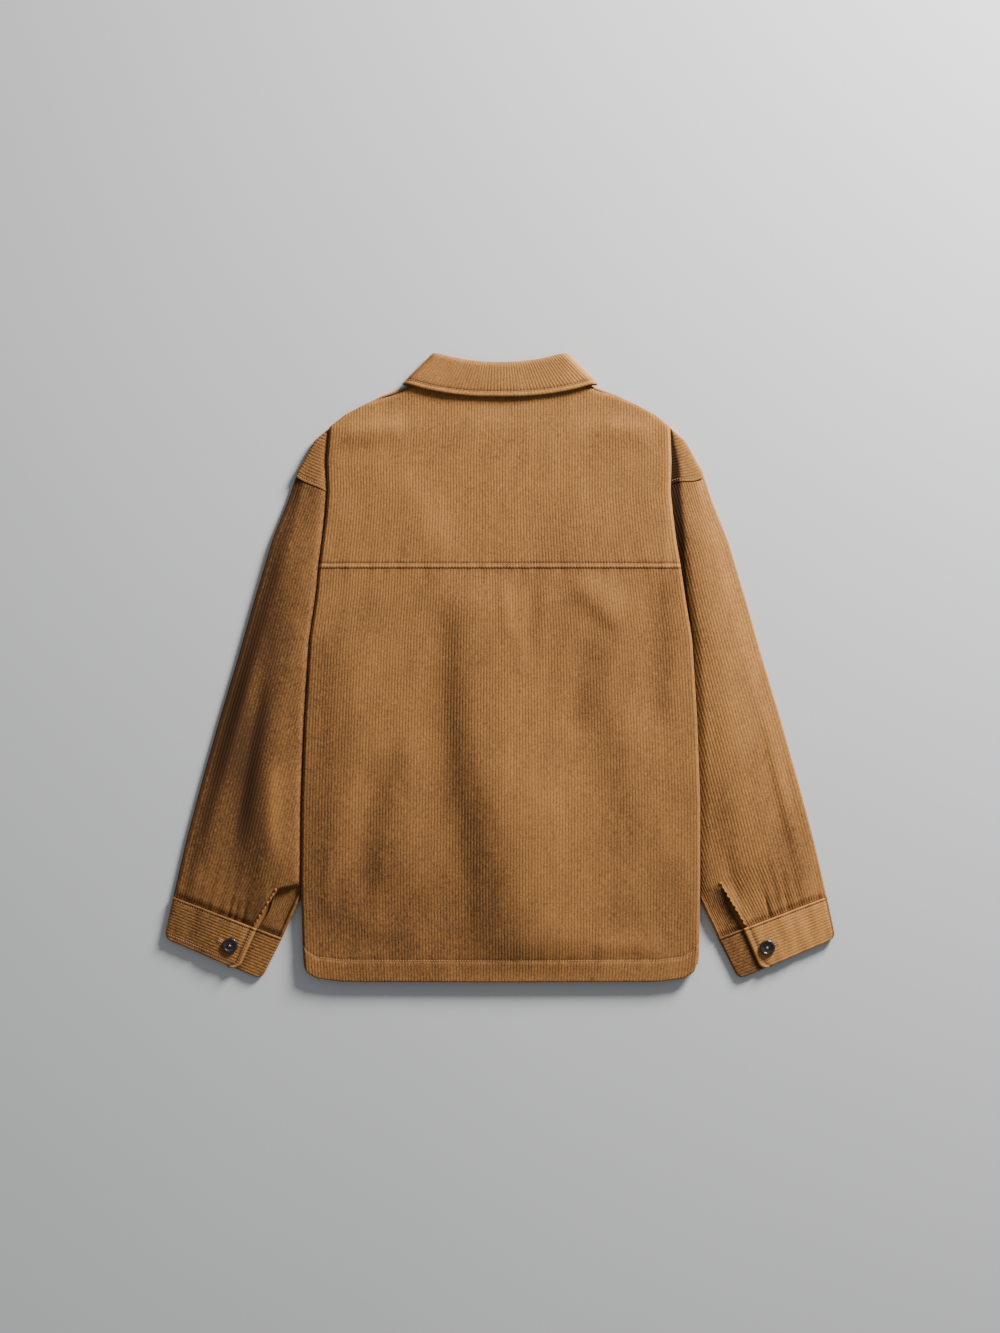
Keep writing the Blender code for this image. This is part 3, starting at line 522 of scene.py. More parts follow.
def wale_group() -> bpy.types.NodeTree:
    """Node group of the corduroy: pile in each wale, darker valleys, random tone, and painted light and
    shade.

    Returns:
        The group. Its inputs are the colours of the pile, the valleys and the back, the colour
        that multiplies them where random tone and painted shade darken them, the painted light and
        inner attributes, the wale coordinates and the place. Its outputs are the colour, the roughness and
        the pile's height.
    """
    group = bpy.data.node_groups.new("corduroy wales", "ShaderNodeTree")
    for way, kind, names in (("INPUT", "Color", ("Pile", "Valley", "Back", "Deep")),
                             ("INPUT", "Float", ("Nap", "Inner")), ("INPUT", "Vector", ("Wale", "Place")),
                             ("OUTPUT", "Color", ("Color",)), ("OUTPUT", "Float", ("Roughness", "Height"))):
        for name in names:
            group.interface.new_socket(name=name, in_out=way, socket_type=f"NodeSocket{kind}")
    net = NodeTree(group)
    source = net.add("NodeGroupInput").outputs
    result = net.add("NodeGroupOutput").inputs

    split = net.add("ShaderNodeSeparateXYZ")
    net.join(source["Wale"], split.inputs[0])
    part = net.maths("FRACT", split.outputs[0])
    crown = net.maths("SINE", net.maths("MULTIPLY", part, math.pi))
    crown = net.maths("POWER", crown, 0.6)

    tuft = net.noise(net.scaled(source["Wale"], (2.2, 0.55, 1.0)), 1.0, 4.0, 0.7)
    speck = net.noise(source["Place"], 430.0, 4.0, 0.75)
    patch = net.noise(source["Place"], 16.0, 3.0, 0.55)
    drift = net.noise(net.scaled(source["Place"], (1.0, 0.35, 1.0)), 60.0, 3.0, 0.6)

    shade = net.mix(crown, source["Valley"], source["Pile"])
    # Lightness: 1 plus the painted light and shade of the attribute, plus random tone from the noises.
    light = net.maths("ADD", 1.0, source["Nap"])
    for value, strength in ((tuft, 1.1), (speck, 1.3), (patch, 0.26), (drift, 0.40)):
        light = net.maths("ADD", light, net.maths("MULTIPLY", net.maths("SUBTRACT", value, 0.5), strength))
    # Where the lightness falls, the colour is multiplied towards Deep: random tone, and painted shade where
    # the attribute is below 0.
    turned = net.maths("MAXIMUM", net.maths("MULTIPLY", net.maths("SUBTRACT", light, 0.5), 2.0), MOST_SHADE_AND_TONE)
    lit = net.mix(turned, net.mix(1.0, shade, source["Deep"], "MULTIPLY"), shade)
    lit.node.clamp_factor = False
    # Painted crease shadow: below a set level of painted shade the colour is pulled towards a near-black.
    crease_shadow = net.maths("MULTIPLY", net.maths("SUBTRACT", CREASE_SHADOW_START, source["Nap"]), CREASE_SHADOW_RATE)
    crease_shadow = net.maths("MAXIMUM", net.maths("MINIMUM", crease_shadow, CREASE_SHADOW_MOST), 0.0)
    lit = net.mix(crease_shadow, lit, linear(*CREASE_SHADOW_COLOUR))
    net.join(net.mix(source["Inner"], lit, source["Back"]), result["Color"])
    net.join(net.maths("ADD", 0.8, net.maths("MULTIPLY", tuft, 0.15)), result["Roughness"])
    height = net.maths("ADD", net.maths("MULTIPLY", tuft, 0.6), net.maths("MULTIPLY", speck, 0.4))
    net.join(height, result["Height"])
    return group


@dataclass(frozen=True)
class Corduroy:
    """Tan corduroy: colours of the pile on the crowns, of the valleys and of the cloth's inside.

    The colour that darkens them for random tone and painted shade is a share of the others, in linear light;
    the pile's depth is in metres.
    """

    pile: Colour = (152.0, 106.5, 61.0)
    valley: Colour = (139.0, 94.5, 52.0)
    inside: Colour = (158.0, 110.0, 66.0)
    # multiplier for random tone and painted shade
    shade_and_tone_colour: Colour = (0.37, 0.36, 0.45)
    tint: Colour = (240.0, 190.0, 140.0)
    sheen: float = 0.10
    sheen_roughness: float = 0.45
    shine: float = 0.12
    pile_depth: float = 0.00035
    pile_bump: float = 0.7

    def build(self, group: bpy.types.NodeTree) -> bpy.types.Material:
        """Material of the cloth.

        Args:
            group: node group of the wales.

        Returns:
            The material.
        """
        made, net, shader = new_material("tan corduroy")
        wales = net.add("ShaderNodeGroup", node_tree=group)
        set_inputs(wales, {"Pile": linear(*self.pile), "Valley": linear(*self.valley),
                           "Back": linear(*self.inside), "Deep": (*self.shade_and_tone_colour, 1.0)})
        for name, attribute in (("Nap", "nap"), ("Inner", "inner")):
            reader = net.add("ShaderNodeAttribute", attribute_name=attribute)
            net.join(reader.outputs["Fac"], wales.inputs[name])
        net.join(net.add("ShaderNodeUVMap", uv_map="wales").outputs["UV"], wales.inputs["Wale"])
        net.join(net.object_place(), wales.inputs["Place"])
        net.join(wales.outputs["Color"], shader.inputs["Base Color"])
        net.join(wales.outputs["Roughness"], shader.inputs["Roughness"])
        bump = net.add("ShaderNodeBump")
        set_inputs(bump, {"Strength": self.pile_bump, "Distance": self.pile_depth})
        net.join(wales.outputs["Height"], bump.inputs["Height"])
        net.join(bump.outputs["Normal"], shader.inputs["Normal"])
        set_inputs(shader, {"Sheen Weight": self.sheen, "Sheen Roughness": self.sheen_roughness,
                            "Sheen Tint": linear(*self.tint), "Specular IOR Level": self.shine})
        return made


@dataclass(frozen=True)
class Thread:
    """Sewing thread, a shade lighter than the cloth."""

    colour: Colour = (205.0, 158.0, 108.0)
    roughness: float = 0.6
    twist: float = 2200.0
    twist_shade: float = 0.72
    sheen: float = 0.2

    def build(self) -> bpy.types.Material:
        """Material of the thread, with a fine twist."""
        made, net, shader = new_material("thread")
        twist = net.noise(net.object_place(), self.twist, 2.0)
        dark = tuple(self.twist_shade * c for c in linear(*self.colour)[:3]) + (1.0,)
        net.join(net.mix(twist, dark, linear(*self.colour)), shader.inputs["Base Color"])
        set_inputs(shader, {"Roughness": self.roughness, "Sheen Weight": self.sheen})
        return made


@dataclass(frozen=True)
class Horn:
    """Polished brown-black button with a faint marbled grain."""

    dark: Colour = (23.0, 20.0, 18.0)
    light: Colour = (60.0, 52.0, 44.0)
    grain: float = 160.0
    scratches: float = 1400.0
    roughness: float = 0.2
    scratch_roughness: float = 0.12
    coat: float = 0.4
    coat_roughness: float = 0.12

    def build(self) -> bpy.types.Material:
        """Material of the buttons."""
        made, net, shader = new_material("dark horn")
        place_of = net.object_place()
        grain = net.noise(net.scaled(place_of, (1.0, 3.0, 1.0)), self.grain, 4.0, 0.6)
        ramp = net.add("ShaderNodeValToRGB")
        for stop, position, colour in zip(ramp.color_ramp.elements, (0.42, 0.72), (self.dark, self.light)):
            stop.position = position
            stop.color = linear(*colour)
        net.join(grain, ramp.inputs[0])
        net.join(ramp.outputs[0], shader.inputs["Base Color"])
        scratch = net.maths("MULTIPLY", net.noise(place_of, self.scratches, 2.0), self.scratch_roughness)
        net.join(net.maths("ADD", self.roughness, scratch), shader.inputs["Roughness"])
        set_inputs(shader, {"Coat Weight": self.coat, "Coat Roughness": self.coat_roughness})
        return made


@dataclass
class Finishes:
    """The jacket's materials."""

    cloth: bpy.types.Material
    thread: bpy.types.Material
    horn: bpy.types.Material

    def piece(self, name: str, node: str, face: Face, wall: float = CLOTH_WALL) -> bpy.types.Object:
        """Cloth shell that stands for one node of the frame."""
        return place(name, shell_mesh(name, face, wall), self.cloth, Slot.CORDUROY, (node,))


def axes_of(run: Array) -> tuple[Array, Array, Array]:
    """Three unit axes at each point of a line: along it, level and across it, and up from both."""
    run = run / np.linalg.norm(run, axis=1, keepdims=True)
    aside = np.cross(run, np.array([0.0, 0.0, 1.0]))
    aside /= np.maximum(np.linalg.norm(aside, axis=1, keepdims=True), 1e-6)
    return run, aside, np.cross(aside, run)


@dataclass(frozen=True)
class Stitch:
    """Row of stitches: pitch, length, width and height of one stitch."""

    pitch: float = 3.1
    length: float = 2.4
    width: float = 0.75
    height: float = 0.5

    def points_and_faces(self, line: Array, start: int) -> tuple[Array, Array]:
        """Stitches along a line of points.

        One stitch is three crosswise squares between two tips: its half width is the sine of its
        place from tip to tip.

        Args:
            line: points along the seam, (count, 3).
            start: number of the first vertex.

        Returns:
            Points, and triangles in their numbers.
        """
        travel = travelled(line)
        count = max(int(travel[-1] / self.pitch), 1)
        middles = (np.arange(count) + 0.5) * travel[-1] / count
        at = points_at(line, travel, middles)
        run = points_at(line, travel, middles + 0.5) - points_at(line, travel, middles - 0.5)
        run, aside, up = axes_of(run)
        shape = [(-0.5 * self.length, 0.0, 0.0)]
        for along in (-0.3, 0.0, 0.3):
            girth = math.sin(math.pi * (along + 0.5))
            for angle in (0.0, 0.5 * math.pi, math.pi, 1.5 * math.pi):
                shape.append((along * self.length, girth * 0.5 * self.width * math.cos(angle),
                              girth * 0.5 * self.height * math.sin(angle)))
        shape = np.array(shape + [(0.5 * self.length, 0.0, 0.0)])
        points = at[:, None, :]
        for number, axis in enumerate((run, aside, up)):
            points = points + shape[None, :, number, None] * axis[:, None, :]
        faces = []
        for turn in range(4):
            after = (turn + 1) % 4
            faces.append((0, 1 + after, 1 + turn))
            for ring in (1, 5):
                low, low_after = ring + turn, ring + after
                faces += [(low, low_after, low_after + 4), (low, low_after + 4, low + 4)]
            faces.append((9 + turn, 9 + after, 13))
        numbers = start + np.arange(count)[:, None, None] * len(shape) + np.array(faces)[None, :, ::-1]
        return points.reshape(-1, 3), numbers.reshape(-1, 3)


SEAM_STITCH = Stitch()


def sew(name: str, lines: list[Array], finish: bpy.types.Material,
        stitch: Stitch = SEAM_STITCH) -> bpy.types.Object:
    """One object of stitches along several lines.

    Args:
        name: name of the object.
        lines: seams, each an array of points.
        finish: material of the thread.
        stitch: size of the stitches.

    Returns:
        The object.
    """
    points, faces, start = [], [], 0
    for line in lines:
        more_points, more_faces = stitch.points_and_faces(line, start)
        points.append(more_points)
        faces.append(more_faces)
        start += len(more_points)
    mesh = add_mesh(name, np.concatenate(points) * MM, np.concatenate(faces).tolist())
    mesh.shade_smooth()
    return place(name, mesh, finish, Slot.CORDUROY)


def folded(width: Array, share: Array, radius: float, ends: tuple[bool, bool]
           ) -> tuple[Array, Array]:
    """Section of a layer that turns through a quarter circle at its folded ends.

    Args:
        width: distance between its two ends.
        share: share of the developed length, 0 to 1.
        radius: radius of the turn.
        ends: whether the first and the last end turn.

    Returns:
        Distance from the first end, and level: 0 at a fold, 1 on the flat.
    """
    quarter = 0.5 * math.pi
    turns = [quarter * radius if end else 0.0 for end in ends]
    insets = [radius if end else 0.0 for end in ends]
    length = width - sum(insets) + sum(turns)
    run = share * length
    first, last = (np.clip(part / radius, 0.0, quarter) if end else quarter + 0 * part
                   for part, end in zip((run, length - run), ends))
    distance = insets[0] + run - turns[0]
    distance = np.where(run < turns[0], radius * (1.0 - np.cos(first)), distance)
    distance = np.where(length - run < turns[1], width - radius * (1.0 - np.cos(last)), distance)
    return distance, np.sin(first) * np.sin(last)


def rows_between(start: float, stop: float, step: float, extra: tuple[float, ...] = ()) -> Array:
    """Evenly spaced rows with some more among them; rows too near an extra one are left out."""
    even = np.linspace(start, stop, max(int(round((stop - start) / step)), 1) + 1)
    wanted = np.array(extra, dtype=float)
    if len(wanted) == 0:
        return even
    far = np.min(np.abs(even[:, None] - wanted[None, :]), axis=1) > 0.4 * step
    far[[0, -1]] = True
    return np.unique(np.concatenate([even[far], wanted]))


@dataclass(frozen=True)
class BodyForm:
    """Outline of the body and the heights of its layers, as in the part's source."""

    edge: tuple = (
        (285.0, -204.5, 204.0), (248.0, -208.0, 205.5), (210.0, -206.5, 204.5), (182.0, -208.8, 207.6),
        (153.0, -212.4, 211.2), (119.0, -217.0, 217.0), (88.0, -219.8, 221.4), (33.0, -228.0, 230.4),
        (-63.0, -234.0, 236.4), (-159.0, -237.6, 240.0), (-255.0, -238.8, 240.0), (-344.0, -236.4, 238.8),
        (-378.0, -233.5, 235.0),
    )
    hem: Line = ((0.0, -377.5), (0.80, -376.8), (0.93, -373.0), (0.985, -365.0), (1.0, -356.0))
    yoke_seam: float = 119.0
    shoulder: Line = ((90.0, 347.0), (115.0, 335.6), (142.0, 325.8), (165.0, 314.5), (186.0, 303.0),
                      (204.5, 288.5))
    neck_point: float = 90.0
    front_neck: Line = ((0.0, 260.0), (15.0, 263.0), (30.0, 273.0), (50.0, 292.0), (70.0, 317.0),
                        (90.0, 347.0))
    back_neck: float = 341.0
    placket_flat: float = 24.0
    placket_ramp: float = 60.0
    placket_lift: float = 2.9
    sleeve_lift: float = 5.3
    leaf_lift: float = 2.8
    leaf: Line = ((-6.0, 277.8), (-60.0, 234.6), (-117.4, 340.4))
    sleeve_inner: Line = ((-72.0, 81.0), (-262.0, -324.6))
    level: float = 9.9
    side_rise: float = 1.6
    collar_dip: float = 1.5
    layer_gap: float = 0.5

    def left(self, y: Array) -> Array:
        """Left side fold."""
        return table(self.edge, y, 1)

    def right(self, y: Array) -> Array:
        """Right side fold."""
        return table(self.edge, y, 2)

    def hem_line(self, x: Array) -> Array:
        """Lower edge of the hem, with its rounded corners."""
        return table(self.hem, np.abs(x) / 236.0)

    def shoulder_line(self, x: Array) -> Array:
        """Shoulder fold, from the neck point outwards."""
        return table(self.shoulder, np.abs(x))

    def back_neck_line(self, x: Array) -> Array:
        """Upper edge of the yoke: a parabola between the neck points, then the shoulders."""
        reach = np.abs(x)
        rise = self.shoulder[0][1] - self.back_neck
        neck = self.back_neck + rise * (np.minimum(reach, self.neck_point) / self.neck_point) ** 2
        return np.where(reach < self.neck_point, neck, self.shoulder_line(x))

    def front_neck_line(self, x: Array) -> Array:
        """Upper edge of a front: its neckline, then the shoulder."""
        reach = np.abs(x)
        return np.where(reach < self.neck_point, table(self.front_neck, reach), self.shoulder_line(x))

    def sleeve_line(self, y: Array) -> Array:
        """Distance from the middle of the sleeve's hidden inner fold, and above it of the armhole."""
        (x_top, y_top), (x_end, y_end) = self.sleeve_inner
        below = -x_top + (y_top - y) * (x_top - x_end) / (y_top - y_end)
        return np.where(y < y_top, below, -x_top + (y - y_top) * 0.48)

    def over_sleeve(self, x: Array, y: Array, start: float = 42.0, end: float = 12.0) -> Array:
        """0 where a layer lies low, 1 where the hidden part of a sleeve lifts it."""
        return smooth((np.abs(x) - self.sleeve_line(y) + start) / (start - end))

    def over_leaf(self, x: Array, y: Array) -> Array:
        """1 where the collar's front leaf lies under the front, fading to 0 around it."""
        reach = np.abs(x)
        (neck_x, neck_y), (point_x, point_y), (tip_x, tip_y) = self.leaf
        front_slope = (point_y - neck_y) / (point_x - neck_x)
        side_slope = (tip_y - point_y) / (tip_x - point_x)
        front_line = (y - neck_y + front_slope * (reach + neck_x)) / math.hypot(1.0, front_slope)
        side_line = (y - point_y + side_slope * (reach + point_x)) / math.hypot(1.0, side_slope)
        return smooth((np.minimum(front_line, side_line) + 42.0) / 28.0)

    def placket(self, x: Array, y: Array) -> Array:
        """1 on the strip where the fronts lap, fading to 0 beside it and above the neckline."""
        strip = smooth((self.placket_flat + self.placket_ramp - np.abs(x)) / self.placket_ramp)
        return strip * smooth((self.leaf[0][1] + 30.0 - y) / 30.0)

    def front_under(self, x: Array, y: Array) -> Array:
        """Height of the underside of the fronts."""
        lift = np.maximum(self.sleeve_lift * self.over_sleeve(x, y), self.leaf_lift * self.over_leaf(x, y))
        return np.maximum(lift, self.placket_lift * self.placket(x, y))

    def stack_top(self, x: Array, y: Array) -> Array:
        """Lowest height that the back's upper face may have over the fronts below it."""
        lapped = (CLOTH_WALL + 0.6) * self.placket(x, y)
        return self.front_under(x, y) + WALES.height + CLOTH_WALL + lapped + self.layer_gap + CLOTH_WALL


@dataclass
class Body:
    """Back, yoke and the two fronts: the layers between the side folds."""

    form: BodyForm
    finishes: Finishes
    fold_radius: float = 4.0
    hem_depth: float = 25.5
    hem_step: float = 0.9
    hem_groove: float = 0.55 * 0.85
    seam_groove: float = 0.75 * 0.85
    seam_stitch: float = 5.2
    yoke_lap: float = 0.6
    peek: float = 4.5
    back_folds: tuple[Fold, ...] = (
        Fold(((-34, 116), (-32, -10), (-24, -100), (2, -180), (22, -260), (28, -372)), 3.4,
             (24, 58), (70, 90), 0.1, 2.0),
        Fold(((-72, 90), (-70, -60), (-60, -150), (-46, -230), (-44, -360)), -2.2,
             (30, 40), (16, 22), 0.15, 1.3),
        Fold(((58, -90), (54, -220), (48, -372)), 3.2, (90, 120), (60, 70), 0.3),
        Fold(((-100, -60), (-118, -130), (-132, -200), (-140, -290)), 2.4, (13, 20), (30, 34)),
        Fold(((-150, -90), (-166, -180), (-172, -300)), -1.8, (24, 24), (18, 18)),
        Fold(((86, 112), (110, 84), (150, 44)), 2.8, (16, 10), (22, 26), 0.3),
        Fold(((104, 40), (98, -30), (92, -100)), -1.8, (14, 18), (20, 22)),
        Fold(((186, 120), (190, 20), (188, -90)), -2.2, (18, 20), (12, 14), 0.2),
        Fold(((150, -20), (160, -150), (150, -320)), 1.8, (26, 26), (40, 36)),
        Fold(((-176, 100), (-180, -40), (-184, -180), (-180, -320)), 1.8, (40, 40), (30, 30), 0.2),
        Fold(((2, 116), (6, 70), (14, 20)), 1.0, (7, 9), (9, 12), 0.3),
        Fold(((34, 116), (36, 60), (30, 0)), -0.9, (8, 9), (9, 10), 0.3),
        Fold(((100, -336), (150, -334), (196, -338)), 1.6, (8, 8), (8, 8), 0.3),
        Fold(((-190, -300), (-130, -318), (-80, -312)), 1.1, (10, 10), (10, 10), 0.3),
        Fold(((-200, -200), (-206, -260), (-196, -320)), 1.0, (8, 8), (10, 10), 0.3),
    )
    # Bands of painted shade and light along the back's folds.
    back_shades: tuple[Fold, ...] = (
        Fold(((-50, 112), (-54, -21), (-48, -123), (-24, -190), (-8, -260), (-8, -374)), -0.03,
             (24, 60), (18, 38), 0.1, 5.5),
        Fold(((-112, -80), (-122, -130), (-138, -200), (-152, -290)), -0.11, (14, 28), (16, 28), 0.25),
        Fold(((52, -110), (56, -240), (54, -360)), 0.05, (20, 24), (30, 34), 0.25),
        Fold(((112, 60), (100, -10), (96, -90)), -0.12, (14, 18), (20, 24), 0.3),
        Fold(((-206, 60), (-214, -160), (-214, -360)), -0.16, (30, 40), (24, 40), 0.15, 1.3),
        Fold(((188, 116), (192, 20), (190, -80)), -0.14, (16, 18), (10, 12), 0.25),
    )
    # Patches of painted shade and light on the back.
    back_patches: tuple[PaintedPatch, ...] = (
        PaintedPatch((-130, -310), (90, 90), -0.24), PaintedPatch((30, -150), (30, 100), 0.05),
        PaintedPatch((150, -200), (60, 160), -0.04),
    )
    # Patches of painted light and shade on the yoke.
    yoke_patches: tuple[PaintedPatch, ...] = (
        PaintedPatch((-170, 262), (60, 14), -0.08), PaintedPatch((-150, 292), (60, 9), 0.16),
        PaintedPatch((150, 294), (60, 10), 0.20), PaintedPatch((90, 150), (60, 30), -0.08),
        PaintedPatch((-90, 140), (50, 26), -0.06), PaintedPatch((203, 200), (5, 110), 0.3),
    )
    yoke_folds: tuple[Fold, ...] = (
        Fold(((-196, 276), (-150, 284), (-108, 294)), 1.4, (10, 10), (10, 10)),
        Fold(((-200, 256), (-150, 264), (-116, 270)), -1.3, (10, 10), (10, 10)),
        Fold(((112, 294), (150, 284), (192, 268)), 1.1, (10, 10), (10, 10)),
        Fold(((-70, 124), (-84, 170), (-96, 220)), 0.8, (18, 18), (24, 24)),
        Fold(((60, 124), (84, 168), (120, 210)), 0.9, (16, 16), (22, 22)),
    )

    def puckers(self, x: Array, distance: Array) -> Array:
        """Small uneven waves that a row of stitches draws up, fading away from the seam.

        Args:
            x: places along the seam.
            distance: distance from the seam.

        Returns:
            Height of the waves: a product of two sines and a third one, times exp(-distance / 9).
        """
        wave = np.sin(x / 3.1) * np.sin(x / 17.0 + 0.8) + 0.6 * np.sin(x / 5.3 + 1.9)
        return 0.28 * wave * np.exp(-np.abs(distance) / 9.0)

    def back_top(self, x: Array, y: Array) -> Array:
        """Height of the upper face of the back and yoke.

        It is a level that rises at the sides, plus the folds, grooves and puckers, and never lower
        than the layers under it allow.
        """
        form = self.form
        from_hem = y - form.hem_line(x) - self.hem_depth
        from_seam = y - form.yoke_seam
        wanted = form.level + form.side_rise * form.over_sleeve(x, y, 70.0, 0.0)
        below = smooth((form.yoke_seam + 10.0 - y) / 36.0)
        wanted = wanted + sum_at(self.back_folds, x, y) * below + sum_at(self.yoke_folds, x, y)
        wanted = wanted + self.hem_step * smooth(-from_hem / 3.0) + self.puckers(x, from_hem)
        wanted = wanted + self.puckers(x + 40.0, from_seam)
        wanted = wanted - self.hem_groove * bell(from_hem, 1.7)
        wanted = wanted + self.yoke_lap * smooth(from_seam + 0.5) * np.exp(-np.abs(from_seam) / 26.0)
        wanted = wanted - self.seam_groove * bell(from_seam - 5.8, 1.5)
        wanted = wanted + 0.5 * bell(from_seam - 2.8, 1.7)
        wanted = wanted - form.collar_dip * smooth((y - 285.0) / 35.0)
        lowest = form.stack_top(x, y)
        return lowest + 0.5 * (wanted - lowest + np.sqrt((wanted - lowest) ** 2 + 0.3))

    def rim_height(self, x: Array, y: Array) -> Array:
        """Height at which the upper and lower layers meet round the body."""
        return 0.5 * (self.form.front_under(x, y) + self.back_top(x, y)) + 0.4

    def upper_face(self, x: Array, y: Array, level: Array) -> Array:
        """Points of the upper layer, turned down to the rim height where the level is 0."""
        rim = self.rim_height(x, y) + 0.15
        return np.stack([x, y, rim + (self.back_top(x, y) - rim) * level], axis=-1)

    def back(self) -> None:
        """Back panel, from the hem to the yoke seam, with its hem stitch."""
        form = self.form
        height = form.yoke_seam - form.hem[0][1]
        rows = rows_between(0.0, height, 8.4, (0.8, 2.2, 5.0, 21.0, 23.4, 25.5, 27.6, 30.0,
                                               height - 8.0, height - 4.0, height - 1.2)) / height
        wales = WALES.stations(132)
        share = (wales / wales[-1])[None, :]
        middle = form.left(0.0) + share * (form.right(0.0) - form.left(0.0))
        y = form.hem_line(middle) + rows[:, None] * (form.yoke_seam - 0.3 - form.hem_line(middle))
        for _again in range(2):
            distance, level = folded(form.right(y) - form.left(y), share, self.fold_radius, (True, True))
            x = form.left(y) + distance
            y = form.hem_line(x) + rows[:, None] * (form.yoke_seam - 0.3 - form.hem_line(x))
        points = self.upper_face(x, y, level)
        points[:1, :, 2] -= 0.7
        from_hem = y - form.hem_line(x) - self.hem_depth
        # Painted light and shade: from the slope of the face, the bands and patches, darker in the hem's
        # stitch groove and under the yoke's lap.
        nap = slope_shade(points, 0.42) + sum_at(self.back_patches, x, y)
        nap = nap + sum_at(self.back_shades, x, y) - 0.05
        nap = nap - 0.16 * bell(from_hem, 1.6) - 0.06 * smooth((y - form.yoke_seam + 2.2) / 1.6)
        face = Face(points, wales, nap=nap)
        panel = self.finishes.piece("back_cloth", "back_panel", face)
        hem_row = nearest(rows * height, self.hem_depth)
        thread = sew("back_hem_stitches", [face.line(row=hem_row, lift=0.55)[8:-8]], self.finishes.thread)

    def shoulder_rows(self, x: Array, rows: Array, bottom: float | Array, height: Array
                      ) -> tuple[Array, Array]:
        """Rows that end flat at the neckline, and with a fold along the shoulder.

        Args:
            x: places across.
            rows: shares of the height.
            bottom: y of the lowest row.
            height: distance from it to the neckline or shoulder.

        Returns:
            Places along, and level of the shoulder's fold.
        """
        shoulder = smooth((np.abs(x) - self.form.neck_point) / 14.0)
        run, turned = folded(height, rows[:, None] + 0 * x, self.fold_radius, (False, True))
        y = bottom + run * shoulder + rows[:, None] * height * (1.0 - shoulder)
        return y, 1.0 - shoulder * (1.0 - turned)

    def yoke_columns(self, count: int, rows: Array, bottom: float) -> tuple[Array, ...]:
        """Grid of the yoke: side folds all the way, and the shoulders folded from the neck point out.

        Args:
            count: number of wales across.
            rows: shares of the height.
            bottom: y of the lowest row.

        Returns:
            Places across and along, level of the fold, and wale coordinate of the columns.
        """
        form = self.form
        wales = WALES.stations(count)
        share = (wales / wales[-1])[None, :]
        y = bottom + rows[:, None] * (form.back_neck_line(form.left(200.0) * (1.0 - 2.0 * share)) - bottom)
        for _again in range(3):
            distance, level = folded(form.right(y) - form.left(y), share, self.fold_radius, (True, True))
            x = form.left(y) + distance
            peek = self.peek * (bell(x + 124.0, 26.0) * smooth((-x - 92.0) / 10.0)
                                + 0.7 * bell(x - 112.0, 24.0) * smooth((x - 92.0) / 10.0))
            y, shoulder = self.shoulder_rows(x, rows, bottom, form.back_neck_line(x) - peek - bottom)
        return x, y, level * shoulder, wales

    def yoke(self) -> None:
        """Yoke, lapped over the back with one row of topstitching."""
        form = self.form
        height = 205.0
        rows = rows_between(0.0, height, 8.4, (0.7, 2.0, 4.0, 5.2, 6.2, 7.2, 8.6, 11.0,
                                               height - 12.0, height - 7.5, height - 4.6, height - 2.4,
                                               height - 1.0)) / height
        x, y, level, wales = self.yoke_columns(120, rows, form.yoke_seam)
        points = self.upper_face(x, y, level)
        points[:1, :, 2] -= 0.6
        from_seam = y - form.yoke_seam
        # Painted light and shade: from the slope of the face and the patches, painted shade in the stitch
        # groove and a painted highlight on the lapped edge.
        nap = slope_shade(points, 0.55) + sum_at(self.yoke_patches, x, y) + 0.01
        nap = nap - 0.3 * bell(from_seam - 6.2, 1.3) + 0.1 * bell(from_seam - 2.8, 1.8)
        face = Face(points, wales, nap=nap)
        panel = self.finishes.piece("yoke_cloth", "back_yoke", face)
        seam_row = nearest(rows * height, self.seam_stitch)
        thread = sew("yoke_stitches", [face.line(row=seam_row, lift=0.55)[6:-6]], self.finishes.thread)

    def front(self, side: Side) -> None:
        """A front, face down: placket, hem and shoulder, with its stitches on the face below."""
        form = self.form
        left = side is Side.LEFT
        closing = side.pick(18.0, 16.0)
        edge = (lambda y: -form.left(y)) if left else form.right
        rows = rows_between(0.0, 1.0, 0.0155, (0.002, 0.006, 0.012, 0.034, 0.04, 0.046,
                                               0.975, 0.985, 0.992, 0.997))
        wales = WALES.stations(70)
        share = (wales / wales[-1])[None, :]
        y = -377.0 + rows[:, None] * 700.0 + 0 * share
        for _again in range(4):
            distance, level = folded(closing + edge(y), share, self.fold_radius, (False, True))
            x = distance - closing
            hem = form.hem_line(x)
            y, shoulder = self.shoulder_rows(x, rows, hem, form.front_neck_line(x) - hem)
        level = level * shoulder
        signed_x = side.value * x
        under = form.front_under(signed_x, y) + WALES.height
        if not left:
            ramp = smooth((form.placket_flat + form.placket_ramp - x) / form.placket_ramp)
            under = under + (CLOTH_WALL + 0.6) * np.where(x < form.placket_flat, 1.0, ramp)
        rim = self.rim_height(signed_x, y) - 0.15
        points = np.stack([signed_x, y, rim + (under - rim) * level], axis=-1)
        face = Face(points, wales, outward=side.pick(1, -1))
        panel = self.finishes.piece(f"front_{side.word}_cloth", f"front_{side.word}", face)
        columns = [nearest(x[0], at - closing) for at in (4.0, 32.0)]
        lines = [face.line(row=nearest(rows, 0.04), lift=0.6)[6:-8]]
        lines += [face.line(column=column, lift=0.6)[3:-3] for column in columns]
        thread = sew(f"front_{side.word}_stitches", lines, self.finishes.thread)

    def build(self) -> None:
        """All four pieces."""
        self.front(Side.LEFT)
        self.front(Side.RIGHT)
        self.back()
        self.yoke()


